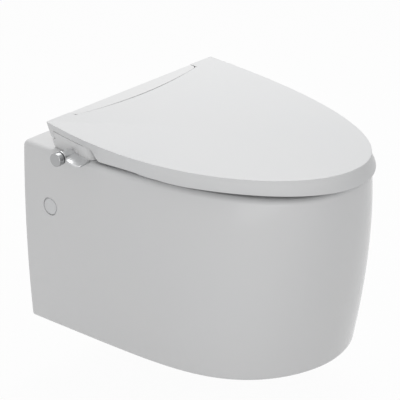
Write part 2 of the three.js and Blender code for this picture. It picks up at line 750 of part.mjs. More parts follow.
// The lid's plan, its crease height and its skirt
const LID_PLAN = {
  half: LID.halfWidth,
  taper: LID.taper,
  bow: LID.bow,
  rear: LID.rear,
  length: LID.length,
  blunt: LID_SHARES.blunt,
  round: LID_SHARES.round,
};
const LID_MIDDLE_Y = -LID.rear - LID.length * LID_SHARES.middle;
const LID_EDGE_SHARES = [
  TAB.front - TAB.step,
  TAB.front,
  LID.seamEnd,
  mix(LID.seamEnd, LID.skirtStart, HALF_SHARE),
  LID.skirtStart,
].map((edge) => (edge - LID.rear) / LID.length);
const lidShareAt = (y) => Math.min(Math.max((-y - LID.rear) / LID.length, 0), 1);
const lidHalfAt = (y) => halfWidthAt(LID_PLAN, lidShareAt(y));

// Height of the crease: it falls towards the nose and sags a little in between
function creaseAt(y) {
  const s = lidShareAt(y);
  return deck(mix(LID.rearTop, LID.noseTop, s) - LID.sag * 4 * s * (1 - s));
}

const seamAt = (y) => creaseAt(y) - LID.seamDrop;

// Lower edge of the lid: tab at the rear, seam over the side panel, then the deep skirt
function skirtBottomAt(y) {
  if (-y < TAB.front) return deck(TAB.bottom);
  const share = eased((-y - LID.seamEnd) / (LID.skirtStart - LID.seamEnd));
  return mix(seamAt(y), deck(mix(LID.skirtBottom, LID.noseBottom, lidShareAt(y))), share);
}

// How far the lower edge stands out from the crease: drawn in at the rear, flared in front
function skirtFlareAt(y) {
  const share = eased((-y - LID.seamEnd) / (LID.flareStart - LID.seamEnd));
  return mix(-LID_SHARES.draft * (creaseAt(y) - skirtBottomAt(y)), LID.flare, share);
}

// The lid's outline moved outward by a distance at each Y, with its rear edge left in place
function lidRing(outAt, heightAt, rearWall = 0) {
  return planRing(LID_PLAN, flatAt(0), LID_EDGE_SHARES).map((p) => {
    const out = outAt(p.y);
    const y = p.y - out * lidShareAt(p.y) ** LID_SHARES.flarePower;
    return at(p.x * (1 + out / LID.halfWidth), Math.min(y, -LID.rear - rearWall), heightAt(p.y));
  });
}

// A ring drawn in towards the lid's middle by a scale, lying on the crowned top
function crownRing(outline, scale, drop) {
  return outline.map((p) => {
    const y = LID_MIDDLE_Y + scale * (p.y - LID_MIDDLE_Y);
    return at(scale * p.x, y, creaseAt(y) + LID.crown * (1 - scale * scale) - drop);
  });
}

// The lid as one skin: over its underside, round the skirt's lower edge and back over its top
function lidShell() {
  const outer = lidRing(flatAt(0), flatAt(0));
  const inner = lidRing(flatAt(-LID.wall), flatAt(0), LID.wall);
  const lowerInner = lidRing((y) => skirtFlareAt(y) - LID.wall, skirtBottomAt, LID.wall);
  const lowerOuter = lidRing((y) => skirtFlareAt(y) - LID.lipInset, skirtBottomAt);
  const lip = lidRing(skirtFlareAt, (y) => skirtBottomAt(y) + LID.lip);
  const scales = CROWN_SCALE_SHARES;
  return loft([
    ...[...scales].reverse().map((scale) => crownRing(inner, scale, LID.wall)),
    lowerInner,
    lowerOuter,
    lip,
    ...scales.map((scale) => crownRing(outer, scale, 0)),
  ]);
}

// The space under the lid, a clearance below its underside
function underLid() {
  const inner = lidRing(flatAt(-LID.wall), flatAt(0), LID.wall);
  const crowned = CROWN_SCALE_SHARES.map((scale) => crownRing(inner, scale, LID.wall + GAP));
  return loft([inner, ...crowned]);
}

// The outline of the strip of the cover that shows behind the lid, anticlockwise
function stripRing(grow, z, rear, forward = grow) {
  const corner = STRIP.endRadius + grow;
  const flat = STRIP.halfWidth - STRIP.endRadius;
  const front = STRIP.endFront + forward;
  const bow = STRIP.middleFront - STRIP.endFront;
  const quarter = Array.from({ length: STRIP_CORNER_STEPS + 1 }, (_, i) => {
    const turn = Math.PI * HALF_SHARE * (i / STRIP_CORNER_STEPS);
    return [flat + corner * Math.cos(turn), -front + corner - corner * Math.sin(turn)];
  });
  const ring = [at(flat + corner, -rear, z), at(-flat - corner, -rear, z)];
  for (const [x, y] of quarter) ring.push(at(-x, y, z));
  for (let i = 1; i < STRIP_BOW_STEPS; i += 1) {
    const share = 2 * (i / STRIP_BOW_STEPS) - 1;
    ring.push(at(flat * share, -front - bow * (1 - share * share), z));
  }
  for (const [x, y] of quarter.reverse()) ring.push(at(x, y, z));
  return ring;
}

const hingeAt = (x) => at(x, -HINGE.y, deck(HINGE.z));

// A plate with a round knuckle on the hinge line
function knuckle(outline, inner, outer, side) {
  const [from, to] = spanX(side, inner, outer);
  return sidePlate(outline, from, to).add(rod(hingeAt(from), hingeAt(to), HINGE.knuckle));
}

// The bore for a hinge pin on one side
function pinBore(side) {
  const [from, to] = spanX(side, PIN_INNER - OVERRUN, PIN_OUTER + OVERRUN);
  return rod(hingeAt(from), hingeAt(to), HINGE.pin + RUNNING_GAP);
}

// The swept room of a round end of the strip, so that the lid's edge clears it as it opens
function stripEndRelief(side) {
  const corner = STRIP.endFront - STRIP.endRadius * STRIP_END_RELIEF_SHARE - HINGE.y;
  const reach = Math.hypot(corner, STRIP.top - HINGE.z) + SEAM;
  const [from, to] = spanX(side, STRIP.halfWidth - STRIP.endRadius, STRIP.halfWidth + SEAM);
  return rod(hingeAt(from), hingeAt(to), reach, reach, FINE_ROUND);
}

// The lid: its shell less the strip's place, with a hinge plate and an end wall in each ear
function lid() {
  const coverSide = COVER.halfWidth + SEAM;
  const wallFront = LID.rear + LID.wall + GAP;
  const undercutTop = deck(STRIP.top - LID_UNDERCUT.depth);
  let body = lidShell().subtract(loft([
    stripRing(SEAM + STRIP.draft, deck(COVER.shoulder), -OVERRUN, LID_UNDERCUT.forward),
    stripRing(SEAM + STRIP.draft, undercutTop, -OVERRUN, LID_UNDERCUT.forward),
    stripRing(SEAM, deck(STRIP.top), -OVERRUN),
    stripRing(SEAM, deck(STRIP.top + LID.crown), -OVERRUN),
  ]));
  const shoulder = deck(COVER.shoulder + SEAM);
  body = body.subtract(block(at(-coverSide, -wallFront, DECK_Z), at(coverSide, 0, shoulder)));
  const top = deck(STRIP.top - LID.wall * HALF_SHARE);
  const rear = -LID.rear - GAP;
  const front = -LID_HINGE.plateFront;
  const foot = -HINGE.y - HINGE.knuckle;
  const outline = [[rear, deck(HINGE.z)], [rear, top], [front, top], [foot, deck(HINGE.z)]];
  for (const [, side] of SIDES) {
    body = body.add(knuckle(outline, LID_PLATE_INNER, LID_PLATE_OUTER, side));
    const [from, to] = spanX(side, coverSide, coverSide + LID_HINGE.wall);
    body = body.add(block(at(from, front, deck(LID_HINGE.wallBottom)), at(to, rear, top)));
    body = body.subtract(pinBore(side)).subtract(stripEndRelief(side));
  }
  return body;
}

// The seat's outer outline in plan, with rounded rear corners
function seatOutline() {
  const fromShare = lidShareAt(-SEAT.rear);
  const sides = planRing(grown(LID_PLAN, -SEAT.inset), flatAt(0), SEAT_CORNER_SHARES, fromShare).map((p) => {
    const fromRear = -p.y - SEAT.rear;
    const drawn = (SEAT.rearInset - SEAT.inset) * (1 - eased(fromRear / SEAT.insetFade));
    const short = THREE.MathUtils.clamp(SEAT.corner - fromRear, 0, SEAT.corner);
    const rounded = SEAT.corner - Math.sqrt(SEAT.corner * SEAT.corner - short * short);
    const x = Math.max(Math.abs(p.x) - (drawn + rounded), 0);
    return at(Math.sign(p.x) * x, p.y, 0);
  });
  const corner = sides[0];
  for (let i = 1; i <= SEAT_REAR_POINTS; i += 1) {
    sides.push(at(mix(-corner.x, corner.x, i / (SEAT_REAR_POINTS + 1)), corner.y, 0));
  }
  return sides;
}

// The seat ring: a rounded section carried round between its outline and its opening
function seatRing() {
  const middle = -(SEAT.openRear + SEAT.openFront) * HALF_SHARE;
  const reach = (SEAT.openFront - SEAT.openRear) * HALF_SHARE;
  const outer = seatOutline();
  const power = SEAT_OPEN_ROUND_SHARE;
  const opening = outer.map((p) => {
    const angle = Math.atan2(p.y - middle, p.x);
    const c = Math.abs(Math.cos(angle)) / SEAT.openHalf;
    const s = Math.abs(Math.sin(angle)) / reach;
    const radius = (c ** power + s ** power) ** (-1 / power);
    return at(radius * Math.cos(angle), middle + radius * Math.sin(angle), 0);
  });
  let seat = loft(SEAT_SECTION_SHARES.map(([inward, rise]) => outer.map((p, i) => {
    const spot = p.clone().lerp(opening[i], inward);
    return at(spot.x, spot.y, deck(mix(SEAT.bottom, SEAT.top, rise)));
  })), true);
  seat = seat.subtract(block(at(-COVER.mouth, -SEAT.openRear - OVERRUN, DECK_Z),
    at(COVER.mouth, OVERRUN - SEAT.rear, deck(SEAT_ARM.bottom))));
  const [bottom, top] = [deck(SEAT_ARM.bottom), deck(SEAT_ARM.top)];
  const end = -SEAT.rear - SEAT_ARM.reach;
  const link = -HINGE.y - SEAT_ARM.reach;
  const outline = [[end, bottom], [link, bottom], [-HINGE.y - HINGE.knuckle, deck(HINGE.z)],
    [-HINGE.y, deck(HINGE.z)], [-HINGE.y, deck(HINGE.z) + HINGE.knuckle], [link, top], [end, top]];
  for (const [, side] of SIDES) {
    seat = seat.add(knuckle(outline, SEAT_ARM_INNER, SEAT_ARM_OUTER, side));
    seat = seat.subtract(pinBore(side));
  }
  return seat;
}

// The foot of a bumper, from its shares of the lid's half width and the seat's length
function bumperPlace(side, [acrossShare, alongShare]) {
  const y = -mix(SEAT.rear, LID.rear + LID.length, alongShare);
  return [side * lidHalfAt(y) * acrossShare, y];
}

// A rubber foot under the seat, standing on the rim
function seatBumper(side, place) {
  const [x, y] = bumperPlace(side, place);
  const top = at(x, y, deck(SEAT.bottom - GAP));
  return rod(at(x, y, deck(GAP)), top, BUMPER.radius, BUMPER.radius - BUMPER.draft);
}

// A rubber stop between the seat and the lid, cut to the lid's underside
function lidBumper(side, place) {
  const [x, y] = bumperPlace(side, place);
  const stop = rod(at(x, y, deck(SEAT.top + GAP)), at(x, y, deck(LID.rearTop)), BUMPER.lidRadius);
  return stop.intersect(underLid());
}

// The panel's outside half width: it carries on the sloping side of the lid down to the deck
const panelHalfAt = (y, z) => lidHalfAt(y) - LID_SHARES.draft * (creaseAt(y) - z);

// One side panel of the tray in plan: an outer face, a round front corner and an inner face
function panelRing(side, heightAt) {
  const corner = TRAY.cornerRadius;
  const straightEnd = -TRAY.front + corner;
  const outer = [];
  const inner = [];
  for (let i = 0; i <= PANEL_STEPS; i += 1) {
    const y = mix(-TRAY.rear, straightEnd, i / PANEL_STEPS);
    const z = heightAt(y);
    outer.push(at(panelHalfAt(y, z), y, z));
    inner.push(at(panelHalfAt(y, z) - TRAY.wall, y, z));
  }
  for (let i = 1; i <= PANEL_STEPS; i += 1) {
    const turn = Math.PI * HALF_SHARE * (i / PANEL_STEPS);
    const inward = corner * (1 - Math.cos(turn));
    const y = straightEnd - corner * Math.sin(turn);
    const z = heightAt(y);
    const innerY = straightEnd - (corner - TRAY.wall) * Math.sin(turn);
    outer.push(at(panelHalfAt(straightEnd, z) - inward, y, z));
    inner.push(at(panelHalfAt(straightEnd, z) - TRAY.wall - inward * (1 - TRAY.wall / corner), innerY, z));
  }
  const ring = [...outer.reverse(), ...inner];
  return side > 0 ? ring : ring.map((p) => at(-p.x, p.y, p.z)).reverse();
}

// The tray's floor outline at a height, inside the side panels
function floorRing(z) {
  const front = -TRAY.front + TRAY.cornerRadius;
  const inset = TRAY.wall * HALF_SHARE;
  const half = [front, -TRAY.rear].map((y) => panelHalfAt(y, z) - inset);
  const left = [
    at(half[0] - TRAY.cornerRadius, -TRAY.front, z),
    at(half[0], front, z),
    at(half[1], -TRAY.rear, z),
  ];
  return [...left, ...left.map((p) => at(-p.x, p.y, p.z)).reverse()];
}

// A side panel of the tray, trimmed at the rear where the lid's tab turns
function sidePanel(side) {
  const panel = loft([panelRing(side, flatAt(deck(TRAY.foot))), panelRing(side, (y) => seamAt(y) - SEAM)]);
  const [from, to] = spanX(side, LID_PLATE_OUTER + GAP, LID.halfWidth + OVERRUN);
  const tabTop = deck(TAB.bottom - SEAM - GAP);
  const low = at(from, -TAB.front - SEAM, tabTop);
  const relief = at(from, -TAB.relief, tabTop - TAB.reliefDrop);
  return panel.subtract(block(low, at(to, OVERRUN, deck(LID.rearTop))))
    .subtract(block(relief, at(to, OVERRUN, tabTop + SEAM)));
}

// Two ribs and a rear wall on the tray that carry the nozzle block
function cradle() {
  const half = NOZZLE_BLOCK.halfWidth;
  const rear = at(half, -CRADLE.rear, deck(CRADLE.backTop));
  let ribs = block(at(-half, -CRADLE.rear - CRADLE.wall, TRAY_LOW), rear);
  for (const [, side] of SIDES) {
    const [from, to] = spanX(side, half - CRADLE.wall, half);
    ribs = ribs.add(block(at(from, -CRADLE.front, TRAY_LOW), at(to, -CRADLE.rear, deck(CRADLE.top))));
  }
  return ribs.subtract(nozzleBlockShape(GAP));
}

const leverAt = (x) => at(x, -LEVER.y, deck(LEVER.z));

// Outward from the side panel's face on the lever's axis: the collar, a clearance and the lever
const COLLAR_END = panelHalfAt(-LEVER.y, deck(LEVER.z)) + COLLAR.proud;
const COLLAR_START = COLLAR_END - COLLAR.length;
const LEVER_INNER = COLLAR_END + LEVER.clearance;
const LEVER_OUTER = LEVER_INNER + LEVER.width;

// The tray: floor, side panels, hinge brackets and a cradle for the nozzle block
function baseTray() {
  const bracketFoot = TRAY_LOW + TRAY.thick * HALF_SHARE;
  const bracket = [[-HINGE.y - HINGE.knuckle, bracketFoot], [-TRAY.rear, bracketFoot],
    [-TRAY.rear, deck(HINGE.z)], [-HINGE.y - HINGE.knuckle, deck(HINGE.z)]];
  const above = TRAY_TOP + OVERRUN;
  let tray = loft([floorRing(TRAY_LOW), floorRing(TRAY_TOP)]);
  for (const [, side] of SIDES) {
    tray = tray.add(sidePanel(side));
    tray = tray.add(knuckle(bracket, PIN_INNER, PIN_INNER + HINGE.bracket, side));
    tray = tray.add(knuckle(bracket, PIN_OUTER - HINGE.bracket, PIN_OUTER, side));
    tray = tray.subtract(pinBore(side));
    const boltAt = (z) => at(side * BOLT_X, -SEAT_BOLT.y, z);
    tray = tray.subtract(rod(boltAt(DECK_Z), boltAt(above), SEAT_BOLT.head + SEAM));
  }
  tray = tray.add(cradle());
  tray = tray.subtract(block(at(-COVER.mouth, -TRAY.front - OVERRUN, DECK_Z),
    at(COVER.mouth, -TRAY.mouthRear, above)));
  tray = tray.subtract(block(at(-VALVE.outer - GAP, -VALVE.front - GAP, DECK_Z),
    at(GAP - VALVE.inner, GAP - VALVE.rear, above)));
  const reach = SPINDLE.radius + SEAM;
  tray = tray.subtract(block(at(-COLLAR_START - GAP, -LEVER.y - reach, DECK_Z),
    at(-VALVE.outer, reach - LEVER.y, above)));
  tray = tray.subtract(rod(leverAt(GAP - COLLAR_START), leverAt(-LEVER_OUTER), COLLAR.radius + GAP));
  tray = tray.subtract(block(...buttonCorners(GAP, LID.halfWidth)));
  return tray.add(buttonGuide());
}

// The cover's side profile, moved inward for its hollow
function coverProfile(inset, low) {
  return [
    [inset - COVER.front, low],
    [-COVER.rear - inset, low],
    [-COVER.rear - inset, deck(COVER.shoulder) - inset],
    [-STRIP.middleFront - STRIP.draft, deck(COVER.shoulder) - inset],
    [inset - COVER.front, deck(COVER.frontTop) - inset],
  ];
}

// The raised strip of the cover, moved inward for its hollow
function stripBoss(inset, low) {
  return loft([
    stripRing(STRIP.draft - inset, low, COVER.rear + inset),
    stripRing(-inset, deck(STRIP.top) - inset, COVER.rear + inset),
  ]);
}

// The cover over the works, with the raised strip that shows behind the lid
function topCover() {
  const half = COVER.halfWidth;
  const wall = COVER.wall;
  const sunk = deck(COVER.shoulder) - wall - GAP;
  let cover = sidePlate(coverProfile(0, COVER_LOW), -half, half).add(stripBoss(0, sunk));
  cover = cover.subtract(sidePlate(coverProfile(wall, COVER_LOW - OVERRUN), wall - half, half - wall));
  cover = cover.subtract(stripBoss(wall, sunk - wall));
  const front = -COVER.front;
  const ear = GUARD.ear * HALF_SHARE + GUARD.pin;
  for (const [, side] of SIDES) {
    const inner = GUARD.halfWidth + GAP;
    const [from, to] = spanX(side, inner, inner + GUARD.ear);
    cover = cover.add(block(at(from, -GUARD.hingeY - ear, deck(GUARD.hingeZ) - ear),
      at(to, front + wall * HALF_SHARE, deck(GUARD.hingeZ) + ear)));
  }
  cover = cover.subtract(guardRod(GUARD.halfWidth + GUARD.ear + OVERRUN, GUARD.pin + GUARD.gap));
  cover = cover.subtract(block(at(-COVER.mouth, front - OVERRUN, DECK_Z),
    at(COVER.mouth, front + wall + OVERRUN, deck(COVER.mouthTop))));
  const inside = -COVER.rear - wall - OVERRUN;
  cover = cover.subtract(rod(supplyAt(0), supplyAt(inside), SUPPLY.radius + GAP));
  const reach = SPINDLE.radius + SEAM;
  return cover.subtract(block(at(-half - OVERRUN, -LEVER.y - reach, DECK_Z),
    at(wall + OVERRUN - half, reach - LEVER.y, deck(LEVER.z) + reach)));
}

// A hinge pin through the tray's brackets, the seat's arm and the lid's knuckle
function hingePin(side) {
  const [from, to] = spanX(side, PIN_INNER, PIN_OUTER);
  return rod(hingeAt(from), hingeAt(to), HINGE.pin);
}

// The nozzles' sliding line, from a distance behind the resting tip and above the line
const SLOPE = THREE.MathUtils.degToRad(NOZZLE_SLOPE_DEGREES);
function onSlide(x, behind, above = 0) {
  const y = -NOZZLE.tipY + behind * Math.cos(SLOPE) - above * Math.sin(SLOPE);
  return at(x, y, deck(NOZZLE.tipZ) + behind * Math.sin(SLOPE) + above * Math.cos(SLOPE));
}

const NOZZLES = [['rear', -1], ['bidet', 1]];
const nozzleX = (side) => side * NOZZLE.spacing * HALF_SHARE;
const hosePort = (name) => onSlide(-NOZZLE_BLOCK.halfWidth, NOZZLE_PORTS[name].port);
const valvePort = (side) => at(-VALVE.inner, -LEVER.y + side * HOSE.spread, deck(HOSE.z));
const shifted = (point, distance) => at(point.x + distance, point.y, point.z);

// The bare outline of the nozzle block, grown at its sides and below to cut its cradle
function nozzleBlockShape(growth) {
  const { halfWidth, halfHeight, start, behind } = NOZZLE_BLOCK;
  const corners = [onSlide(0, start, halfHeight), onSlide(0, behind, halfHeight),
    onSlide(0, behind, -halfHeight - growth), onSlide(0, start, -halfHeight - growth)];
  return sidePlate(corners.map((p) => [p.y, p.z]), -halfWidth - growth, halfWidth + growth);
}

// The block that guides both nozzles, with a hose port for each on its right side
function nozzleBlock() {
  let body = nozzleBlockShape(0);
  for (const [name] of NOZZLES) {
    const port = hosePort(name);
    body = body.add(rod(shifted(port, HOSE.port * HALF_SHARE), shifted(port, -HOSE.port), HOSE.portRadius));
  }
  for (const [name, side] of NOZZLES) {
    const x = nozzleX(side);
    const end = onSlide(x, NOZZLE_PORTS[name].bore);
    body = body.subtract(rod(onSlide(x, NOZZLE_BLOCK.start - OVERRUN), end, NOZZLE.radius + RUNNING_GAP));
    const port = hosePort(name);
    const drillEnd = shifted(port, -HOSE.port - OVERRUN);
    body = body.subtract(rod(onSlide(x, NOZZLE_PORTS[name].port), drillEnd, HOSE.bore));
  }
  return body;
}

// A nozzle with a tapered tip, a water passage and a spray hole on its upper side
function nozzle(side) {
  const x = nozzleX(side);
  const neck = onSlide(x, NOZZLE.tipLength);
  const body = rod(onSlide(x, NOZZLE.length), neck, NOZZLE.radius)
    .add(rod(neck, onSlide(x, 0), NOZZLE.radius, NOZZLE.tipRadius));
  const jet = onSlide(x, NOZZLE_JET.inset);
  const jetTop = onSlide(x, NOZZLE_JET.inset, NOZZLE.radius + OVERRUN);
  return body.subtract(rod(onSlide(x, NOZZLE.length + OVERRUN), jet, NOZZLE.passage))
    .subtract(rod(jet, jetTop, NOZZLE_JET.radius, NOZZLE_JET.radius, PIN_SIDES));
}

const guardAt = (x) => at(x, -GUARD.hingeY, deck(GUARD.hingeZ));
const guardRod = (half, radius) => rod(guardAt(-half), guardAt(half), radius, radius, PIN_SIDES);

// The guard over the nozzle mouth, hung on a pin between the cover's two ears
function nozzleGuard() {
  const half = GUARD.halfWidth;
  const halfThick = GUARD.thick * HALF_SHARE;
  const flap = block(at(-half, -GUARD.hingeY - halfThick, deck(GUARD.hingeZ - GUARD.length)),
    at(half, halfThick - GUARD.hingeY, deck(GUARD.hingeZ)));
  const knuckles = rod(guardAt(-half), guardAt(half), GUARD.knuckle);
  return flap.add(knuckles).subtract(guardRod(half + OVERRUN, GUARD.pin + GUARD.gap));
}

function guardPin() {
  return guardRod(GUARD.halfWidth + GAP + GUARD.ear, GUARD.pin);
}

// Ends of the valve's chamber, and the tap holes that leave it at its inner end
const CHAMBER_INNER = -VALVE.inner - VALVE.wall;
const CHAMBER_OUTER = CHAMBER_INNER - SPINDLE.spoolLength - SEAM;
const TAP_X = CHAMBER_INNER - HOSE.port;
const supplyAt = (y, x = 0, z = 0) => at(x - SUPPLY.x, y, deck(SUPPLY.z) + z);

// The valve: a casing with a rim on the tray, a chamber for the spool, and three ports
function valveBody() {
  const v = VALVE;
  const portRear = -v.rear + HOSE.port;
  let body = block(at(-v.outer, -v.front, deck(v.bottom)), at(-v.inner, -v.rear, deck(v.top)));
  body = body.add(block(at(-v.outer - v.outerRim, -v.front - v.rim, COVER_LOW),
    at(v.rim - v.inner, v.rim - v.rear, COVER_LOW + v.rimThick)));
  body = body.add(rod(supplyAt(-v.rear - HOSE.port), supplyAt(portRear), SUPPLY.port));
  for (const [, side] of NOZZLES) {
    const port = valvePort(side);
    body = body.add(rod(shifted(port, -HOSE.port), shifted(port, HOSE.port), HOSE.portRadius));
  }
  body = body.subtract(rod(leverAt(CHAMBER_OUTER), leverAt(CHAMBER_INNER), SPINDLE.spool + RUNNING_GAP));
  const shaftBore = SPINDLE.radius + RUNNING_GAP;
  body = body.subtract(rod(leverAt(-v.outer - OVERRUN), leverAt(CHAMBER_INNER), shaftBore));
  for (const [, side] of NOZZLES) {
    const port = valvePort(side);
    const tap = at(TAP_X, port.y, port.z);
    body = body.subtract(rod(tap, shifted(port, HOSE.port + OVERRUN), HOSE.bore));
    body = body.subtract(rod(tap, leverAt(TAP_X), HOSE.drill));
  }
  body = body.subtract(rod(supplyAt(portRear + OVERRUN), supplyAt(-LEVER.y), SUPPLY.pipeBore));
  return body.subtract(rod(supplyAt(-LEVER.y), leverAt(-SUPPLY.x), HOSE.bore));
}

// The spindle turned by the lever, with the spool that opens one port or the other
function valveSpindle() {
  const start = CHAMBER_INNER - GAP;
  const spool = rod(leverAt(start - SPINDLE.spoolLength), leverAt(start), SPINDLE.spool);
  return spool.add(rod(leverAt(-LEVER_INNER - SPINDLE.inLever), leverAt(start), SPINDLE.radius));
}

// The collar that guides the spindle where it leaves the tray's side panel
function spindleCollar() {
  const body = rod(leverAt(-COLLAR_START), leverAt(-COLLAR_END), COLLAR.radius);
  const bore = SPINDLE.radius + RUNNING_GAP;
  return body.subtract(rod(leverAt(OVERRUN - COLLAR_START), leverAt(-COLLAR_END - OVERRUN), bore));
}

// The control lever: a hub with a thumb paddle that falls away forward, and an end flange
function controlLever() {
  const top = LEVER_TOP_SHARES.map(([along, rise]) => [
    -LEVER.y - LEVER.reach * along,
    deck(LEVER.z + LEVER.hub * rise),
  ]);
  const under = top.map(([y, z], i) => [y, z - LEVER.thick * (i === 0 ? 2 : 1)]);
  let lever = sidePlate([...top, ...under.reverse()], -LEVER_OUTER, -LEVER_INNER);
  lever = lever.add(rod(leverAt(-LEVER_OUTER), leverAt(-LEVER_INNER), LEVER.hub));
  lever = lever.add(rod(leverAt(-LEVER_OUTER - LEVER.flangeThick), leverAt(-LEVER_OUTER), LEVER.flange));
  const socket = -LEVER_INNER - SPINDLE.inLever - GAP;
  return lever.subtract(rod(leverAt(socket), leverAt(OVERRUN - LEVER_INNER), SPINDLE.radius + RUNNING_GAP));
}

// The round end cap of the lever, beyond a narrow groove
function leverCap() {
  const start = -LEVER_OUTER - LEVER.flangeThick - GAP;
  const back = start - LEVER_CAP.neckLength;
  const face = back - LEVER_CAP.length;
  const edge = face + LEVER_CAP.edge;
  const faceRadius = LEVER_CAP.radius - LEVER_CAP.edge;
  return rod(leverAt(start), leverAt(edge), LEVER_CAP.neck)
    .add(rod(leverAt(back), leverAt(edge), LEVER_CAP.radius, undefined, FINE_ROUND))
    .add(rod(leverAt(edge), leverAt(face), LEVER_CAP.radius, faceRadius, FINE_ROUND));
}

// A hose from the valve to the nozzle block, in a slow double bend
function feedHose(name, side) {
  const start = shifted(valvePort(side), HOSE.port + GAP);
  const end = shifted(hosePort(name), -HOSE.port - GAP);
  const third = (end.x - start.x) * HALF_SHARE;
  const path = new THREE.CubicBezierCurve3(start, shifted(start, third), shifted(end, -third), end);
  const points = path.getPoints(HOSE_STEPS);
  const bore = [shifted(start, -OVERRUN), ...points, shifted(end, OVERRUN)];
  const across = at(0, 1, 0);
  const hollow = tube(bore, HOSE.bore, across, 0, PIN_SIDES);
  return tube(points, HOSE.radius, across, 0, PIN_SIDES).subtract(hollow);
}

const SUPPLY_SEAT = -COVER.rear - COVER.wall - GAP;
const SUPPLY_BACK = SUPPLY_SEAT - SUPPLY.flangeThick - SUPPLY.inside;
const SUPPLY_MOUTH = SUPPLY.tail - COVER.rear;

// The tail for the water supply, held by a flange inside the cover
function supplyInlet() {
  const body = rod(supplyAt(SUPPLY_BACK), supplyAt(SUPPLY_MOUTH), SUPPLY.radius)
    .add(rod(supplyAt(SUPPLY_SEAT - SUPPLY.flangeThick), supplyAt(SUPPLY_SEAT), SUPPLY.flange));
  return body.subtract(rod(supplyAt(SUPPLY_BACK - OVERRUN), supplyAt(SUPPLY_MOUTH + OVERRUN), SUPPLY.bore));
}

// The short pipe from the supply tail to the valve
function inletPipe() {
  const start = SUPPLY_BACK + SUPPLY.inside;
  const end = HOSE.port + GAP - VALVE.rear;
  return rod(supplyAt(start), supplyAt(end), SUPPLY.bore - GAP)
    .subtract(rod(supplyAt(start + OVERRUN), supplyAt(end - OVERRUN), SUPPLY.pipeBore));
}

// The debris screen in the mouth of the supply tail
function filterScreen() {
  const mouth = SUPPLY_MOUTH - FILTER.sunk;
  let screen = rod(supplyAt(mouth - FILTER.thick), supplyAt(mouth), SUPPLY.bore - GAP);
  for (let i = 0; i <= FILTER_HOLES; i += 1) {
    const angle = (i / FILTER_HOLES) * Math.PI * 2;
    const ring = i < FILTER_HOLES ? FILTER.ring : 0;
    const [x, z] = [ring * Math.cos(angle), ring * Math.sin(angle)];
    const low = supplyAt(mouth - FILTER.thick - OVERRUN, x, z);
    screen = screen.subtract(rod(low, supplyAt(mouth + OVERRUN, x, z), FILTER.hole, FILTER.hole, PIN_SIDES));
  }
  return screen;
}

const BUTTON_FACE = panelHalfAt(-BUTTON.y, deck(BUTTON.z));

// The corners of the release button, grown by a clearance, up to an outer X
function buttonCorners(clear, outerX) {
  const halfWide = BUTTON.width * HALF_SHARE + clear;
  const halfHigh = BUTTON.height * HALF_SHARE + clear;
  return [at(BUTTON_FACE - BUTTON.deep, -BUTTON.y - halfWide, deck(BUTTON.z) - halfHigh),
    at(outerX, halfWide - BUTTON.y, deck(BUTTON.z) + halfHigh)];
}

// The button that frees the seat from its plate, pressed inward on the left side panel
function releaseButton() {
  const [low, high] = buttonCorners(0, BUTTON_FACE + BUTTON.proud);
  const half = BUTTON.stem * HALF_SHARE;
  const stem = block(at(low.x - BUTTON.stemLength, -BUTTON.y - half, deck(BUTTON.z) - half),
    at(low.x + BUTTON.proud, half - BUTTON.y, deck(BUTTON.z) + half));
  return block(low, high).add(stem);
}

// The guide on the tray that the button's stem slides in
function buttonGuide() {
  const inner = BUTTON_FACE - BUTTON.deep - BUTTON.stemLength + BUTTON.travel;
  const half = BUTTON.stem * HALF_SHARE + GAP;
  const reach = half + TRAY.wall;
  const slot = block(at(inner - OVERRUN, -BUTTON.y - half, deck(BUTTON.z) - half),
    at(inner + TRAY.wall + OVERRUN, half - BUTTON.y, deck(BUTTON.z) + half));
  const high = at(inner + TRAY.wall, reach - BUTTON.y, deck(BUTTON.z) + reach);
  return block(at(inner, -BUTTON.y - reach, TRAY_LOW), high).subtract(slot);
}

// Finishes: colour, roughness and metalness of each kind of material
const FINISH = {
  ceramic: { color: 0xf2f2f0, roughness: 0.12, metalness: 0 },
  cap: { color: 0xf0f0ee, roughness: 0.3, metalness: 0 },
  seat: { color: 0xf4f4f3, roughness: 0.22, metalness: 0 },
  housing: { color: 0xececec, roughness: 0.35, metalness: 0 },
  chrome: { color: 0xb9bcbf, roughness: 0.2, metalness: 1 },
  steel: { color: 0x9fa3a6, roughness: 0.35, metalness: 1 },
  brass: { color: 0xb8964f, roughness: 0.35, metalness: 1 },
  nylon: { color: 0xd8d8d2, roughness: 0.5, metalness: 0 },
  rubber: { color: 0x8b8d8e, roughness: 0.8, metalness: 0 },
  darkRubber: { color: 0x303234, roughness: 0.85, metalness: 0 },
};

const toilet = new THREE.Group();

function addPart(name, solid, finish) {
  const mesh = new THREE.Mesh(geometryOf(solid), new THREE.MeshStandardMaterial(FINISH[finish]));
  mesh.name = name;
  toilet.add(mesh);
}

for (const [name, casting] of Object.entries(panCastings())) addPart(name, casting, 'ceramic');
addPart('flush_inlet_seal', inletSeal(), 'darkRubber');
addPart('outlet_seal', outletSeal(), 'darkRubber');
for (const [name, side] of SIDES) {
  addPart(`side_cap_${name}`, sideCap(side), 'cap');
  addPart(`side_screw_${name}`, sideScrew(side), 'steel');
  addPart(`fixing_block_${name}`, fixingBlock(side), 'nylon');
  addPart(`stud_nut_${name}`, studNut(side), 'steel');
  addPart(`plate_bolt_${name}`, plateBolt(side), 'steel');
  addPart(`expansion_nut_${name}`, expansionNut(side), 'rubber');
  addPart(`hinge_pin_${name}`, hingePin(side), 'steel');
}
addPart('mounting_plate', mountingPlate(), 'nylon');
addPart('base_tray', baseTray(), 'housing');
addPart('top_cover', topCover(), 'housing');
addPart('lid', lid(), 'seat');
addPart('seat_ring', seatRing(), 'seat');
SEAT_BUMPER_SHARES.forEach((place, row) => SIDES.forEach(([name, side]) => {
  addPart(`seat_bumper_${BUMPER_ROWS[row]}_${name}`, seatBumper(side, place), 'rubber');
}));
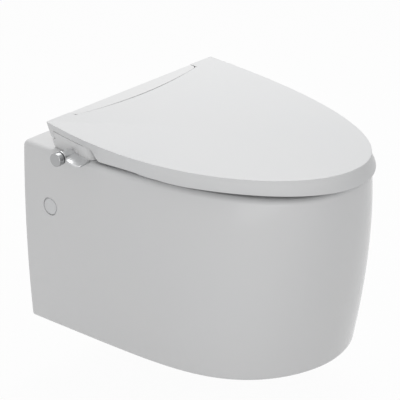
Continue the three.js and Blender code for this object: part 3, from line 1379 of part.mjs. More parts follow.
LID_BUMPER_SHARES.forEach((place, row) => SIDES.forEach(([name, side]) => {
  addPart(`lid_bumper_${BUMPER_ROWS[row]}_${name}`, lidBumper(side, place), 'rubber');
}));
addPart('nozzle_block', nozzleBlock(), 'nylon');
for (const [name, side] of NOZZLES) {
  addPart(`${name}_nozzle`, nozzle(side), 'housing');
  addPart(`feed_hose_${name}`, feedHose(name, side), 'rubber');
}
addPart('nozzle_guard', nozzleGuard(), 'housing');
addPart('guard_pin', guardPin(), 'steel');
addPart('valve_body', valveBody(), 'brass');
addPart('valve_spindle', valveSpindle(), 'steel');
addPart('spindle_collar', spindleCollar(), 'housing');
addPart('control_lever', controlLever(), 'chrome');
addPart('lever_cap', leverCap(), 'chrome');
addPart('supply_inlet', supplyInlet(), 'brass');
addPart('inlet_pipe', inletPipe(), 'nylon');
addPart('filter_screen', filterScreen(), 'steel');
addPart('release_button', releaseButton(), 'housing');

export default toilet;
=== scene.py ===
# %% [markdown]
# # A wall hung toilet with a water powered bidet seat
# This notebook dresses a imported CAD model. The CAD part holds the real sizes and the joints. Here
# the pieces that meet the eye are made again as smooth surfaces, and every piece gets a worked out
# finish. The pieces below are drawn in millimetres and become metres when a mesh is made. The
# camera, the lamps and the grain of the finishes are in metres from the start.

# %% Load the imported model
import json
import math

import bmesh
import bpy
import numpy as np
from mathutils import Euler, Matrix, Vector


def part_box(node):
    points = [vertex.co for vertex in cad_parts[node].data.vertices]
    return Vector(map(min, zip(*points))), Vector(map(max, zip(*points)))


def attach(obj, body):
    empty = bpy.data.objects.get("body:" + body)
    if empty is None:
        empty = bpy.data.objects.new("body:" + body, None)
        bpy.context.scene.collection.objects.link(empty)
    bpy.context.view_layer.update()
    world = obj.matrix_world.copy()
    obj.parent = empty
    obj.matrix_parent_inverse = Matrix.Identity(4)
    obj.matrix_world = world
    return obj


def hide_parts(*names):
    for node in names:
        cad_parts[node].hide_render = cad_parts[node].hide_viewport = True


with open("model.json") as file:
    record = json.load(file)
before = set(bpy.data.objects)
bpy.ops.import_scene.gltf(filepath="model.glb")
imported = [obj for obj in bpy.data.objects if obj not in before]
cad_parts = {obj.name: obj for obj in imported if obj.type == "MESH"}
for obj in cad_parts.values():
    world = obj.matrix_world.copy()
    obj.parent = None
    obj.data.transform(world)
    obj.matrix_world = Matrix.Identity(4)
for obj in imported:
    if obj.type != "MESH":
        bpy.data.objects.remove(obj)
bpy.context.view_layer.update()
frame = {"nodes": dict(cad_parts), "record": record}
MM = 0.001

# %% [markdown]
# ## The camera first
# A long lens far away flattens the shape, as product photographs do. The place comes from the
# direction it looks in, so turn and tilt are enough, with one distance and one point to look at.

# %% Camera
def in_scene(name, data):
    """A new object that holds the data, linked to the scene."""
    made = bpy.data.objects.new(name, data)
    bpy.context.scene.collection.objects.link(made)
    return made


TURN = math.radians(-48.65)
TILT = math.radians(23.29)
LOOK_AT = Vector((0.000866, -0.202104, -0.008717))
DISTANCE = 4.39801

camera_data = bpy.data.cameras.new("camera")
camera_data.lens = 251.37
camera_data.sensor_fit = "HORIZONTAL"
camera_data.sensor_width = 36.0
camera_data.clip_end = 60.0
camera = in_scene("camera", camera_data)
back = Vector((math.sin(TURN) * math.cos(TILT), -math.cos(TURN) * math.cos(TILT), math.sin(TILT)))
camera.location = LOOK_AT + back * DISTANCE
camera.rotation_euler = Euler((math.pi / 2 - TILT, 0.0, TURN))
bpy.context.scene.camera = camera
bpy.context.scene.view_settings.view_transform = "Standard"
print("camera at", tuple(round(c, 3) for c in camera.location))

# %% [markdown]
# ## From rings to a mesh
# Most pieces are a skin over rings: closed loops with the same number of points, stacked or carried
# along. A ring that runs anticlockwise, seen from the side that the stack grows to, gives faces
# that point outwards. Numpy makes all the face numbers at once, by shifting the grid of points.

# %% Skins over rings
def skin(rings, closed=False):
    """Quads between neighbouring rings; flat faces on the first and last, unless it closes."""
    rings = np.asarray(rings, dtype=float)
    rows, count = rings.shape[:2]
    index = np.arange(rows * count).reshape(rows, count)
    if closed:
        index = np.vstack([index, index[:1]])
    low, high = index[:-1], index[1:]
    quads = np.stack([low, np.roll(low, -1, 1), np.roll(high, -1, 1), high], axis=-1)
    faces = quads.reshape(-1, 4).tolist()
    if not closed:
        faces += [index[0, ::-1].tolist(), index[-1].tolist()]
    return rings.reshape(-1, 3), faces


def ring_at(outline, z):
    """A flat loop in X and Y lifted to a height, or to one height for each point."""
    outline = np.asarray(outline, dtype=float)
    return np.column_stack([outline, np.broadcast_to(z, len(outline))])


def box(low, high):
    """A block between two corners: its base loop, carried up."""
    (x0, y0, z0), (x1, y1, z1) = np.minimum(low, high), np.maximum(low, high)
    base = [(x0, y0), (x1, y0), (x1, y1), (x0, y1)]
    return skin([ring_at(base, z0), ring_at(base, z1)])


def plate(outline, x0, x1):
    """A loop in Y and Z, anticlockwise, carried along X."""
    outline = np.asarray(outline, dtype=float)
    ring = lambda x: np.column_stack([np.full(len(outline), float(x)), outline])
    return skin([ring(min(x0, x1)), ring(max(x0, x1))])


def lathe(start, end, profile, sides=64):
    """A turned piece: profile is pairs of (distance from start, radius) along start to end.
    Each pair gives a ring: centre + radius * (cos t * across + sin t * up)."""
    start, end = np.asarray(start, dtype=float), np.asarray(end, dtype=float)
    along = (end - start) / np.linalg.norm(end - start)
    across = np.cross(along, (0.0, 0.0, 1.0) if abs(along[2]) < 0.9 else (0.0, 1.0, 0.0))
    across /= np.linalg.norm(across)
    up = np.cross(along, across)
    turn = np.linspace(0, 2 * np.pi, sides, endpoint=False)[None, :, None]
    steps, radii = np.asarray(profile, dtype=float).T
    centres = start + steps[:, None] * along
    spokes = np.cos(turn) * across + np.sin(turn) * up
    return skin(centres[:, None, :] + radii[:, None, None] * spokes)


def rod(start, end, radius, sides=48):
    """A plain round bar."""
    length = float(np.linalg.norm(np.subtract(end, start)))
    return lathe(start, end, [(0, radius), (length, radius)], sides)


print("a block has", len(box((0, 0, 0), (1, 1, 1))[1]), "faces")

# %% [markdown]
# ## Adding and cutting
# A fired or moulded piece is easiest to describe as sums and cuts of whole shapes, as its mould is
# made. The boolean modifier does this, and its newest solver wants closed meshes, which all of the
# skins are. The result is baked into one mesh, so no cutter is left in the scene.

# %% Solids, cutters and finished pieces
def mesh_object(name, shape):
    """Points in millimetres and faces become an object with its mesh in metres."""
    points, faces = shape
    mesh = bpy.data.meshes.new(name)
    mesh.from_pydata((np.asarray(points) * MM).tolist(), [], faces)
    mesh.validate()
    return in_scene(name, mesh)


def baked(source):
    """Replaces an object's mesh by the mesh that its modifiers make."""
    depsgraph = bpy.context.evaluated_depsgraph_get()
    mesh = bpy.data.meshes.new_from_object(source.evaluated_get(depsgraph))
    old = source.data
    source.modifiers.clear()
    source.data = mesh
    bpy.data.meshes.remove(old)
    return source


def carve(target, *steps):
    """Applies steps of (operation, shape) to an object: UNION adds, DIFFERENCE cuts."""
    tools = []
    for number, (operation, shape) in enumerate(steps):
        tool = mesh_object(f"tool_{number}", shape)
        change = target.modifiers.new(f"step_{number}", "BOOLEAN")
        change.operation, change.solver, change.object = operation, "MANIFOLD", tool
        tools.append(tool)
    baked(target)
    for tool in tools:
        mesh = tool.data
        bpy.data.objects.remove(tool)
        bpy.data.meshes.remove(mesh)
    return target


print("operations: UNION adds, DIFFERENCE cuts, INTERSECT trims")

# %% [markdown]
# ## Finished pieces
# Each new piece takes the place of one or more CAD solids. It gets its edges softened, is shaded
# smooth except over sharp angles, and rides on the body that those solids belong to. Normals
# weighted by face size keep flat faces flat beside a small round.

# %% Settling a piece in its place
STANDS_FOR = []
EDGE_SEGMENTS = 2


def settle(piece, body, *nodes, edge=0.0, angle=32.0):
    """Softens the edges, shades the piece smooth, and puts it in the place of its CAD nodes."""
    if edge:
        soften = piece.modifiers.new("soft_edges", "BEVEL")
        soften.width, soften.segments = edge * MM, EDGE_SEGMENTS
        soften.limit_method, soften.angle_limit = "ANGLE", math.radians(angle)
        soften.use_clamp_overlap = True
        baked(piece)
    piece.data.shade_smooth()
    piece.data.set_sharp_from_angle(angle=math.radians(angle))
    even = piece.modifiers.new("even_shading", "WEIGHTED_NORMAL")
    even.keep_sharp = True
    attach(piece, body)
    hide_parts(*nodes)
    STANDS_FOR.append((piece, nodes))
    print(f"{piece.name}: {len(piece.data.polygons)} faces")
    return piece


print("edges get", EDGE_SEGMENTS, "segments")

# %% [markdown]
# ## Outlines that close in a round nose
# Seen from above, the pan and the lid are the same kind of shape: two long sides that bow a little
# and close in a blunt nose. A superellipse gives that: half width times (1 - s^a)^(1/b), where s
# runs from the wall to the nose. The points are spread evenly by the distance walked and the angle
# turned.

# %% Plan outlines
def half_width(plan, s):
    """side(s) * (1 - s^blunt)^(1 / round), where side = half + taper s + 4 bow s (1 - s)."""
    side = plan["half"] + plan["taper"] * s + plan.get("bow", 0.0) * 4 * s * (1 - s)
    return side * np.maximum(1 - s ** plan["blunt"], 0) ** (1 / plan["round"])


def spread(path, count, turn_weight=22.0):
    """Places along a path, evenly by length walked plus turn_weight times the angle turned."""
    step = np.diff(path, axis=0)
    heading = np.unwrap(np.arctan2(step[:, 1], step[:, 0]))
    turned = np.abs(np.diff(heading, prepend=heading[0]))
    walked = np.concatenate([[0], np.cumsum(np.hypot(*step.T) + turn_weight * turned)])
    return np.interp(np.linspace(0, walked[-1], count), walked, np.arange(len(path)))


def plan_shares(plan, count, extra=()):
    """Shares of the length at which an outline is sampled, with some that must be met exactly."""
    s = 1 - (1 - np.linspace(0, 1, 3000)) ** 2.2
    path = np.column_stack([half_width(plan, s), -plan["length"] * s])
    even = np.interp(spread(path, count), np.arange(len(s)), s)
    return np.unique(np.concatenate([even, np.asarray(extra, dtype=float)]))


def plan_outline(plan, shares, corner=0.0):
    """The loop from the rear corner at -X round the nose to +X, with rounded rear corners."""
    back_off = np.clip(corner - plan["length"] * shares, 0, corner)
    drawn = corner - np.sqrt(corner ** 2 - back_off ** 2)
    x = np.maximum(half_width(plan, shares) - drawn, 0)
    y = -plan["rear"] - plan["length"] * shares
    right = np.column_stack([-x, y])
    return np.vstack([right, (right * (-1, 1))[-2::-1]])


def smooth_table(x, xs, ys):
    """A curve through a table of values; the slope at a point is that of its neighbours' chord."""
    xs, ys = np.asarray(xs, dtype=float), np.asarray(ys, dtype=float)
    slope = np.gradient(ys, xs)
    k = np.clip(np.searchsorted(xs, x, side="right") - 1, 0, len(xs) - 2)
    span = xs[k + 1] - xs[k]
    t = (x - xs[k]) / span
    start, end = (1 + 2 * t) * (1 - t) ** 2 * ys[k], t ** 2 * (3 - 2 * t) * ys[k + 1]
    return start + t * (1 - t) ** 2 * span * slope[k] + end + t ** 2 * (t - 1) * span * slope[k + 1]


def eased(t):
    """0 to 1 with a level start and end: t t (3 - 2 t)."""
    t = np.clip(t, 0, 1)
    return t * t * (3 - 2 * t)


print("eased a quarter of the way:", float(eased(0.25)))

# %% [markdown]
# ## The ceramic pan
# A pan like this is cast in one piece in a plaster mould and fired with its glaze, so no edge is
# sharp: the rim turns over in a wide soft radius that catches a thin light line. The sides are
# stacked outlines that narrow towards the foot, with a slight swell in between.

# %% The pan's outside
DECK, FOOT = 96.0, -209.0
PAN_HALF, PAN_LENGTH = 186.5, 501.0
FOOT_ROUND, RIM_ROUND = 5, 8
REAR_STEPS_MM = np.array([0.4, 1.0, 1.8, 2.8, 4.0, 5.5])
RIM_PLAN = {"half": PAN_HALF, "taper": 5, "length": PAN_LENGTH, "blunt": 2.8, "round": 2.5}
PAN_SHARES = plan_shares(RIM_PLAN, 150, REAR_STEPS_MM / PAN_LENGTH)


def pan_outline(z, inset=0.0, rear=0.0, corner=0.0):
    """The pan's loop at a height, drawn in by an inset; sizes change evenly from rim to foot."""
    t = (DECK - z) / (DECK - FOOT)
    swell = 4 * t * (1 - t)
    plan = {
        "half": PAN_HALF - 10.5 * t + 5.2 * swell - inset,
        "taper": 5.0,
        "rear": rear,
        "length": PAN_LENGTH - 34.0 * t + 2.8 * swell - inset - rear,
        "blunt": 2.8 + 3.0 * t + swell,
        "round": 2.5 - 0.65 * t,
    }
    return plan_outline(plan, PAN_SHARES, corner)


def pan_outside():
    """Foot radius, side and rim radius, in rows of height, inset and distance from the wall."""
    quarter = np.linspace(0, np.pi / 2, 9)
    turn = lambda end, up, radius, rear, a: (end + up * radius * (1 - np.sin(a)),
                                             radius * (1 - np.cos(a)), rear * (1 - np.cos(a)))
    rows = [(FOOT, 6.0, 2.0)]
    rows += [turn(FOOT, 1, FOOT_ROUND, 1.5, a) for a in quarter[::-1]]
    rows += [(z, 0.0, 0.0) for z in np.linspace(FOOT + FOOT_ROUND, DECK - RIM_ROUND, 44)[1:]]
    rows += [turn(DECK, -1, RIM_ROUND, 3, a) for a in quarter[1:]]
    rows += [(DECK, 9.0, 3.6)]
    return skin([ring_at(pan_outline(z, inset, rear, 4.0), z) for z, inset, rear in rows])


def pan_hollow():
    """The space between skirt and bowl, open at the wall: the outside drawn in by the wall."""
    rows = np.linspace(FOOT + 12, DECK - 16, 24)
    return skin([ring_at(pan_outline(z, 12.0, -6.0), z) for z in rows])


print("pan outline points:", len(pan_outline(DECK)))

# %% [markdown]
# ## The basin
# The basin is a stack of rounded loops that shrink towards the sump. Four short tables say how wide
# it is at each share of its depth, and how far its rear and front walls have come in. Its mouth
# rolls over into the deck, which the cutter gets by growing in a quarter circle near the top.

# %% Basin
BASIN_DEPTH = 206
DEPTH_STEPS = [0, 0.1, 0.27, 0.46, 0.66, 0.85, 1]
WIDTH_STEPS = [0.99, 1, 0.87, 0.66, 0.38, 0.14, 0]
REAR_STEPS = [0, 0, 0.04, 0.13, 0.38, 0.7, 1]
FRONT_STEPS = [0, 0, 0.08, 0.27, 0.56, 0.86, 1]


def oval(half, rear, front, power=2.3, count=120):
    """A superellipse: x = half * cos^(2/p), y = middle + reach * sin^(2/p), signs kept."""
    t = np.linspace(0, 2 * np.pi, count, endpoint=False)
    c, s = np.cos(t), np.sin(t)
    x = half * np.sign(c) * np.abs(c) ** (2 / power)
    y = -(rear + front) / 2 + (front - rear) / 2 * np.sign(s) * np.abs(s) ** (2 / power)
    return np.column_stack([x, y])


def basin(wall, mouth=0.0, above=0.0, under=0.0):
    """Loops from the sump up to the deck, or to a depth under it. From mouth to sump the half width
    goes from 119 to 34 mm, the rear from 150 to 229 mm and the front from 452 to 297 mm off the
    wall. A mouth radius grows the top loops by a quarter circle."""
    share = np.concatenate([np.linspace(1, 0.06, 42), np.linspace(0.05, 0, 14)])
    share = share[BASIN_DEPTH * share >= under]
    at = lambda steps: np.clip(smooth_table(share, DEPTH_STEPS, steps), 0, 1)
    half = 34 + 85 * at(WIDTH_STEPS) + wall
    rear = 150 + 79 * at(REAR_STEPS) - wall
    front = 452 - 155 * at(FRONT_STEPS) + wall
    depth = BASIN_DEPTH * share
    near = np.clip(mouth - depth, 0, mouth)
    grow = mouth - np.sqrt(np.maximum(mouth ** 2 - near ** 2, 0))
    rings = [ring_at(oval(h + g, r - g, f + g), DECK - d)
             for h, r, f, d, g in zip(half, rear, front, depth, grow)]
    rings[0] = rings[0] - (0, 0, wall)
    if above:
        rings.append(rings[-1] + (0, 0, above))
    return skin(rings)


print("basin floor at", DECK - BASIN_DEPTH, "mm")

# %% [markdown]
# ## The trap passage
# From the sump the passage dips, climbs over the weir and falls to the outlet at the wall: arcs
# joined end to end. The water that stays in the dip keeps the drain's air out. A tube whose rings
# stand square to that path cuts the passage, and a wider tube gives its wall.

# %% Trap passage
WASTE_Z = -100


def trap_path():
    """A straight leg, a half turn, a quarter turn up to the weir, and a double bend to the wall."""
    bend, start, dip_y, dip_z = 45.0, -95.0, -263.0, -117.0
    leg_y, weir_z = dip_y + 2 * bend, dip_z + 27.0
    fall = math.acos(1 - (weir_z + bend - WASTE_Z) / (2 * bend))
    end_y = leg_y + bend + 2 * bend * math.sin(fall)
    arc = lambda y, z, turns, fy, fz: [(0, y + bend * fy(a), z + bend * fz(a)) for a in turns]
    half, quarter = np.linspace(0, np.pi, 25), np.linspace(0, np.pi / 2, 13)
    path = [(0, dip_y, start)]
    path += arc(dip_y, dip_z, half, lambda a: 1 - math.cos(a), lambda a: -math.sin(a))
    path += arc(leg_y, weir_z, quarter, lambda a: 1 - math.cos(a), math.sin)
    path += arc(leg_y + bend, weir_z, np.linspace(0, fall, 9)[1:], math.sin, math.cos)
    path += [(0, end_y - bend * math.sin(a), WASTE_Z + bend * (1 - math.cos(a)))
             for a in np.linspace(fall, 0, 9)[1:]]
    return np.array(path + [(0, 0, WASTE_Z)], dtype=float)


def tube(path, radius, overrun=0.0, sides=48):
    """Rings square to the path: point + radius * (cos t * across + sin t * up)."""
    path = np.array(path, dtype=float)
    ahead = np.gradient(path, axis=0)
    ahead /= np.linalg.norm(ahead, axis=1, keepdims=True)
    path[-1] += ahead[-1] * overrun
    across = np.broadcast_to((1.0, 0.0, 0.0), ahead.shape)
    up = np.cross(ahead, across)
    t = np.linspace(0, 2 * np.pi, sides, endpoint=False)[None, :, None]
    return skin(path[:, None] + radius * (np.cos(t) * across[:, None] + np.sin(t) * up[:, None]))


route = trap_path()
print("trap path points:", len(route))

# %% [markdown]
# ## Putting the pan together
# The order matters. The hollow is cut first, then the web at the wall, the basin's wall, the trap's
# wall and the pipe sockets are added, and all of it is trimmed to the outside. The water's ways are
# cut last, so that they pass through whatever was added. The side holes get a softened edge.

# %% The pan
def pan_half_at(y, z):
    """Half width of the pan's outside at a distance from the wall and a height."""
    loop = pan_outline(z)
    side = loop[loop[:, 0] > 0]
    order = np.argsort(-side[:, 1])
    return float(np.interp(y, -side[order, 1], side[order, 0]))


HOLE_Y = -57.0
SIDE_FACE = pan_half_at(-HOLE_Y, 0.0)
WALL_OUT = 4.0  # how far a cutter runs out past the wall face
WEB_HALF, WEB_THICK, BASIN_WALL = 62, 14, 11.0
TRAP_OUTSIDE, TRAP_BORE = 42.0, 33.0
WASTE_BOSS, WASTE_SOCKET = 54.0, 45.0
FLUSH_Z, FLUSH_BOSS, FLUSH_SOCKET = 35, 36.5, 27.5
FLUSH_OUTSIDE, FLUSH_BORE = 29.0, 20.0
CAP_RECESS, SCREW_BORE = 14.6, 5.5
BOLT_X, BOLT_Y, BOLT_HOLE = 77.5, -91, 7.5
HOLE_EDGE = [(0, 14.3), (0.5, 14.65), (0.9, 14.85), (1.2, 15.3), (1.7, 17.0), (5.2, 21)]
along_wall = lambda z, reach, out=0.0: ((0, out, z), (0, -reach, z))
cuts = [
    ("DIFFERENCE", pan_hollow()),
    ("UNION", box((-WEB_HALF, -WEB_THICK, FOOT + 1), (WEB_HALF, 0, DECK - 2))),
    ("UNION", basin(BASIN_WALL, under=8.0)),
    ("UNION", tube(route, TRAP_OUTSIDE)),
    ("UNION", rod(*along_wall(WASTE_Z, 37), WASTE_BOSS)),
    ("UNION", rod(*along_wall(FLUSH_Z, 41), FLUSH_BOSS)),
    ("UNION", rod(*along_wall(FLUSH_Z, 150), FLUSH_OUTSIDE)),
    ("INTERSECT", pan_outside()),
    ("DIFFERENCE", basin(0.0, mouth=7.0, above=8.0)),
    ("DIFFERENCE", tube(route, TRAP_BORE, WALL_OUT)),
    ("DIFFERENCE", rod(*along_wall(WASTE_Z, 28, WALL_OUT), WASTE_SOCKET)),
    ("DIFFERENCE", rod(*along_wall(FLUSH_Z, 161, WALL_OUT), FLUSH_BORE)),
    ("DIFFERENCE", rod(*along_wall(FLUSH_Z, 32, WALL_OUT), FLUSH_SOCKET)),
]
for side in (-1, 1):
    in_hole = lambda out: (side * (SIDE_FACE + out), HOLE_Y, 0)
    cuts += [
        ("DIFFERENCE", rod(in_hole(-7), in_hole(6), CAP_RECESS, sides=96)),
        ("DIFFERENCE", lathe(in_hole(-1.2), in_hole(4), HOLE_EDGE, 96)),
        ("DIFFERENCE", rod(in_hole(-16), in_hole(0), SCREW_BORE)),
        ("DIFFERENCE", rod((side * BOLT_X, BOLT_Y, 76), (side * BOLT_X, BOLT_Y, 100), BOLT_HOLE)),
    ]
pan = carve(mesh_object("ceramic_pan", pan_outside()), *cuts)
settle(pan, "pan", "ceramic_bowl", "ceramic_skirt", "ceramic_trapway", "ceramic_flush_channel")

# %% [markdown]
# ## The lid
# The lid is one thin moulded shell. A crisp crease runs all round it: above lies a gently crowned
# top, below a skirt that leans in at the housing and flares out towards the nose. Its lower edge
# steps up over the housing, then drops to cover the seat. All its rings share one base outline.

# %% The lid's lines
LID = {"half": 191.8, "taper": 3.6, "bow": 10.7, "rear": 57.0, "length": 454.0,
       "blunt": 2.24, "round": 2.09}
STEPS = np.array([57.6, 58.4, 65.8, 66.0, 138, 144, 148.5, 149.6, 151, 152.5, 154, 155.5, 157,
                  158.5, 163])
LID_SHARES = plan_shares(LID, 150, (STEPS - LID["rear"]) / LID["length"])
LID_BASE = plan_outline(LID, LID_SHARES)
LID_WALL = 3.2


def lid_share(y):
    """0 at the lid's rear edge, 1 at its nose."""
    return np.clip((-np.asarray(y) - LID["rear"]) / LID["length"], 0, 1)


def crease(y):
    """Crease height: falls from rear to nose and sags 8.2 mm in between."""
    s = lid_share(y)
    return DECK + 47.9 - 14.5 * s - 8.2 * 4 * s * (1 - s)


def seam(y):
    """Where the lid ends above the housing."""
    return crease(y) - 13.8


def skirt_bottom(y):
    """Lower edge: the tab at the rear, the seam over the housing, then the deep skirt. It starts
    just in front of the lever's reach, and is 5 mm deeper there than at the nose."""
    s = lid_share(y)
    deep = DECK + 11.0 - 2.5 * s - 5.0 * (1 - eased((-y - 150) / 110))
    low = seam(y) + (deep - seam(y)) * eased((-y - 148.5) / 10)
    return np.where(-y < 65.9, DECK + 19.0, low)


def skirt_flare(y):
    """How far the lower edge stands out from the crease: from leaning in to 8 mm out."""
    share = eased((-y - 185) / 150)
    lean = -0.37 * (crease(y) - skirt_bottom(y))
    return lean + (8.0 - lean) * share


print("crease at rear and nose:", [round(float(crease(y)), 1) for y in (-57.0, -511.0)])

# %% [markdown]
# ## The lid's skin
# The rings start at the middle of the underside, run out and down the inner wall, round the lip, up
# the slightly hollow skirt to the crease, and back over the crown. Two rings close to each other
# keep the crease crisp without a dead sharp edge.

# %% The lid's skin
def lid_loop(out, z, rear_wall=0.0):
    """The base outline moved outward at each point, its rear edge kept, at given heights."""
    x, y = LID_BASE.T
    moved = np.minimum(y - out * lid_share(y) ** 4, -LID["rear"] - rear_wall)
    return np.column_stack([x * (1 + out / LID["half"]), moved, np.broadcast_to(z, len(x))])


def crown_loop(loop, scale, drop=0.0):
    """A loop drawn towards the middle by a scale; it rises 8 mm times 1 - scale^2."""
    y = -284.0 + scale * (loop[:, 1] + 284.0)
    return np.column_stack([scale * loop[:, 0], y, crease(y) + 8.0 * (1 - scale ** 2) - drop])


def lid_shell():
    """Underside, inner wall, rounded lip, concave skirt, soft crease and crown in one skin."""
    y = LID_BASE[:, 1]
    top, low, flare = crease(y), skirt_bottom(y), skirt_flare(y)
    deep = eased((-y - 160) / 120)
    outer, inner = lid_loop(0.0, 0.0), lid_loop(-LID_WALL, 0.0, LID_WALL)
    scales = np.concatenate([[0.02], np.linspace(0.1, 0.9, 14), [0.94, 0.97, 0.99, 1.0]])
    rings = [crown_loop(inner, k, LID_WALL) for k in scales]
    rings.append(lid_loop(flare - LID_WALL, low + 0.6, LID_WALL))
    lip = [(0.5 - LID_WALL, 0.0), (-LID_WALL / 2, 0.0), (-1.0, 0.0), (-0.45, 0.15), (-0.12, 0.5),
           (0.0, 1.0)]
    # The first loop of the lip still belongs to the inner wall.
    for number, (out, rise) in enumerate(lip):
        rings.append(lid_loop(flare + out, low + rise, 0.0 if number else LID_WALL))
    reach = np.maximum(top - low, 1.0)
    for f in (0.86, 0.72, 0.58, 0.44, 0.3, 0.18, 0.1):
        hollow = 1.7 * deep * 4 * f * (1 - f)
        z = low + 1.0 + (reach - 1.0) * (1 - f)
        rings.append(lid_loop(flare * (top - z) / reach - hollow, z))
    soft = 0.9
    rings.append(lid_loop(flare * soft / reach, top - soft))
    rings.append(lid_loop(-0.02 * soft, top - 0.32 * soft))
    near = crown_loop(outer, 1 - soft / 190)
    rings.append(near * (1, 1, 0) + np.column_stack([0 * y, 0 * y, near[:, 2] - 0.05 * soft]))
    scales = np.concatenate([[0.985, 0.97, 0.94], np.linspace(0.9, 0.1, 14), [0.02]])
    return skin(rings + [crown_loop(outer, k) for k in scales])


print("points in each ring of the lid:", len(LID_BASE))

# %% [markdown]
# ## The strip's cut and the hinge plates
# The housing's raised strip fills a cut in the lid's rear edge, so the lid is cut by the strip's
# own outline, grown by a gap. The lid hangs on a plate with a knuckle near each end of the strip.
# Each knuckle has a hole for its pin, and the lid gets room to swing past the housing there.

# %% Lid with its cuts and hinge plates
STRIP_HALF, STRIP_FRONT, STRIP_CORNER = 129.0, 73.0, 12.0


def strip_loop(grow, z, rear, forward=None):
    """The strip behind the lid, seen from above: straight rear, round ends, a front that bows."""
    corner = STRIP_CORNER + grow
    front = STRIP_FRONT + (grow if forward is None else forward)
    t = np.linspace(0, np.pi / 2, 14)
    x, y = STRIP_HALF + corner * np.cos(t), -front + corner - corner * np.sin(t)
    across = np.linspace(-1, 1, 48)[1:-1]
    bow = np.column_stack([STRIP_HALF * across, -front - 13.0 * (1 - across ** 2)])
    left = np.column_stack([-x, y])
    right = np.column_stack([x, y])[::-1]
    rear_edge = [(STRIP_HALF + corner, -rear), (-STRIP_HALF - corner, -rear)]
    return ring_at(np.vstack([rear_edge, left, bow, right]), z)


HINGE_Y, HINGE_Z = -62.0, DECK + 14.0
KNUCKLE, PIN_HOLE = 4.2, 2.8
PLATE_IN, PLATE_OUT = 164, 171
ARM_IN, ARM_OUT = 151, 161
HOLE_IN, HOLE_OUT = 143, 179
CUT_HALF, STRIP_GAP, SWING_GAP = 146.6, 0.6, 3.6
STRIP_TOP = DECK + 47.2
hinge = lambda x: (x, HINGE_Y, HINGE_Z)

lid_steps = [
    ("DIFFERENCE", skin([strip_loop(SWING_GAP, DECK + 40, -WALL_OUT, 10.0),
                         strip_loop(SWING_GAP, STRIP_TOP - 4, -WALL_OUT, 10.0),
                         strip_loop(STRIP_GAP, STRIP_TOP, -WALL_OUT),
                         strip_loop(STRIP_GAP, STRIP_TOP + 8, -WALL_OUT)])),
    ("DIFFERENCE", box((-CUT_HALF, -60.5, DECK), (CUT_HALF, 0, DECK + 40.6))),
]
for side in (-1, 1):
    ear = [(-57.3, HINGE_Z), (-57.3, STRIP_TOP - 0.9), (-78, STRIP_TOP - 0.9), (-66.2, HINGE_Z)]
    relief = math.hypot(8.0, 33.2) + 0.6
    lid_steps += [
        ("UNION", plate(ear, side * PLATE_IN, side * PLATE_OUT)),
        ("UNION", rod(hinge(side * PLATE_IN), hinge(side * PLATE_OUT), KNUCKLE)),
        ("UNION", box((side * CUT_HALF, -78, DECK + 25), (side * 149, -57.3, STRIP_TOP - 0.9))),
        ("DIFFERENCE", rod(hinge(side * HOLE_IN), hinge(side * HOLE_OUT), PIN_HOLE)),
        ("DIFFERENCE", rod(hinge(side * 129), hinge(side * 141.6), relief, sides=96)),
    ]
lid = carve(mesh_object("lid_shell", lid_shell()), *lid_steps)
settle(lid, "lid", "lid", angle=26)

# %% [markdown]
# ## The seat ring
# The seat is a rounded section carried round between two loops: its outline, drawn in from the
# lid's, and its opening. A point of the section is a share of the way in and a share of the way up.

# %% Seat ring
SEAT_IN = [0.06, 0, 0, 0.07, 0.25, 0.72, 0.93, 1, 1, 0.93, 0.3]
SEAT_UP = [0, 0.25, 0.7, 0.93, 1, 1, 0.9, 0.65, 0.3, 0, 0]
SEAT_HALF, SEAT_LENGTH, SEAT_REAR, SEAT_CORNER = 183.8, 446.0, 163.0, 26.0


def seat_outline():
    """The lid's plan 8 mm in, 10 mm more near the rear, with rounded rear corners."""
    plan = dict(LID, half=SEAT_HALF, length=SEAT_LENGTH)
    first = (SEAT_REAR - LID["rear"]) / LID["length"]
    s = first + plan_shares(plan, 150) * (1 - first)
    s = np.unique(np.concatenate([s, s[0] + np.array([1, 3, 6, 10, 15, 21, 28]) / SEAT_LENGTH]))
    x, y = half_width(plan, s), -LID["rear"] - SEAT_LENGTH * s
    from_rear = -y - SEAT_REAR
    short = np.clip(SEAT_CORNER - from_rear, 0, SEAT_CORNER)
    corner = SEAT_CORNER - np.sqrt(SEAT_CORNER ** 2 - short ** 2)
    x = np.maximum(x - 10 * (1 - eased(from_rear / 100)) - corner, 0)
    right = np.column_stack([-x, y])
    loop = np.vstack([right, (right * (-1, 1))[-2::-1]])
    rear = np.linspace(loop[-1], loop[0], 24)[1:-1]
    return np.vstack([loop, rear])


def seat_shell():
    """Section shares turned into points: outline + in * (opening - outline), bottom + up * 18.
    In front of the housing the outer edge hangs 3.2 mm lower, as a drip edge."""
    outer = seat_outline()
    middle, half, reach, power = -319.0, 104, 127.0, 2.3
    angle = np.arctan2(outer[:, 1] - middle, outer[:, 0])
    wide, deep = np.abs(np.cos(angle)) / half, np.abs(np.sin(angle)) / reach
    size = (wide ** power + deep ** power) ** (-1 / power)
    opening = np.column_stack([size * np.cos(angle), middle + size * np.sin(angle)])
    t = np.linspace(0, 11, 67)[:-1]
    wrap = lambda values: smooth_table(t + 2, np.arange(15), (values[-2:] + values + values[:2]))
    share, rise = wrap(SEAT_IN), np.clip(wrap(SEAT_UP), 0, 1)
    hang = 3.2 * eased((-outer[:, 1] - 200) / 50)
    rings = [ring_at(outer + np.clip(k, 0, 1) * (opening - outer),
                     DECK + 6.5 + 18 * up - hang * eased(1 - up / 0.4) * eased(1 - k / 0.3))
             for k, up in zip(share, rise)]
    return skin(rings, closed=True)


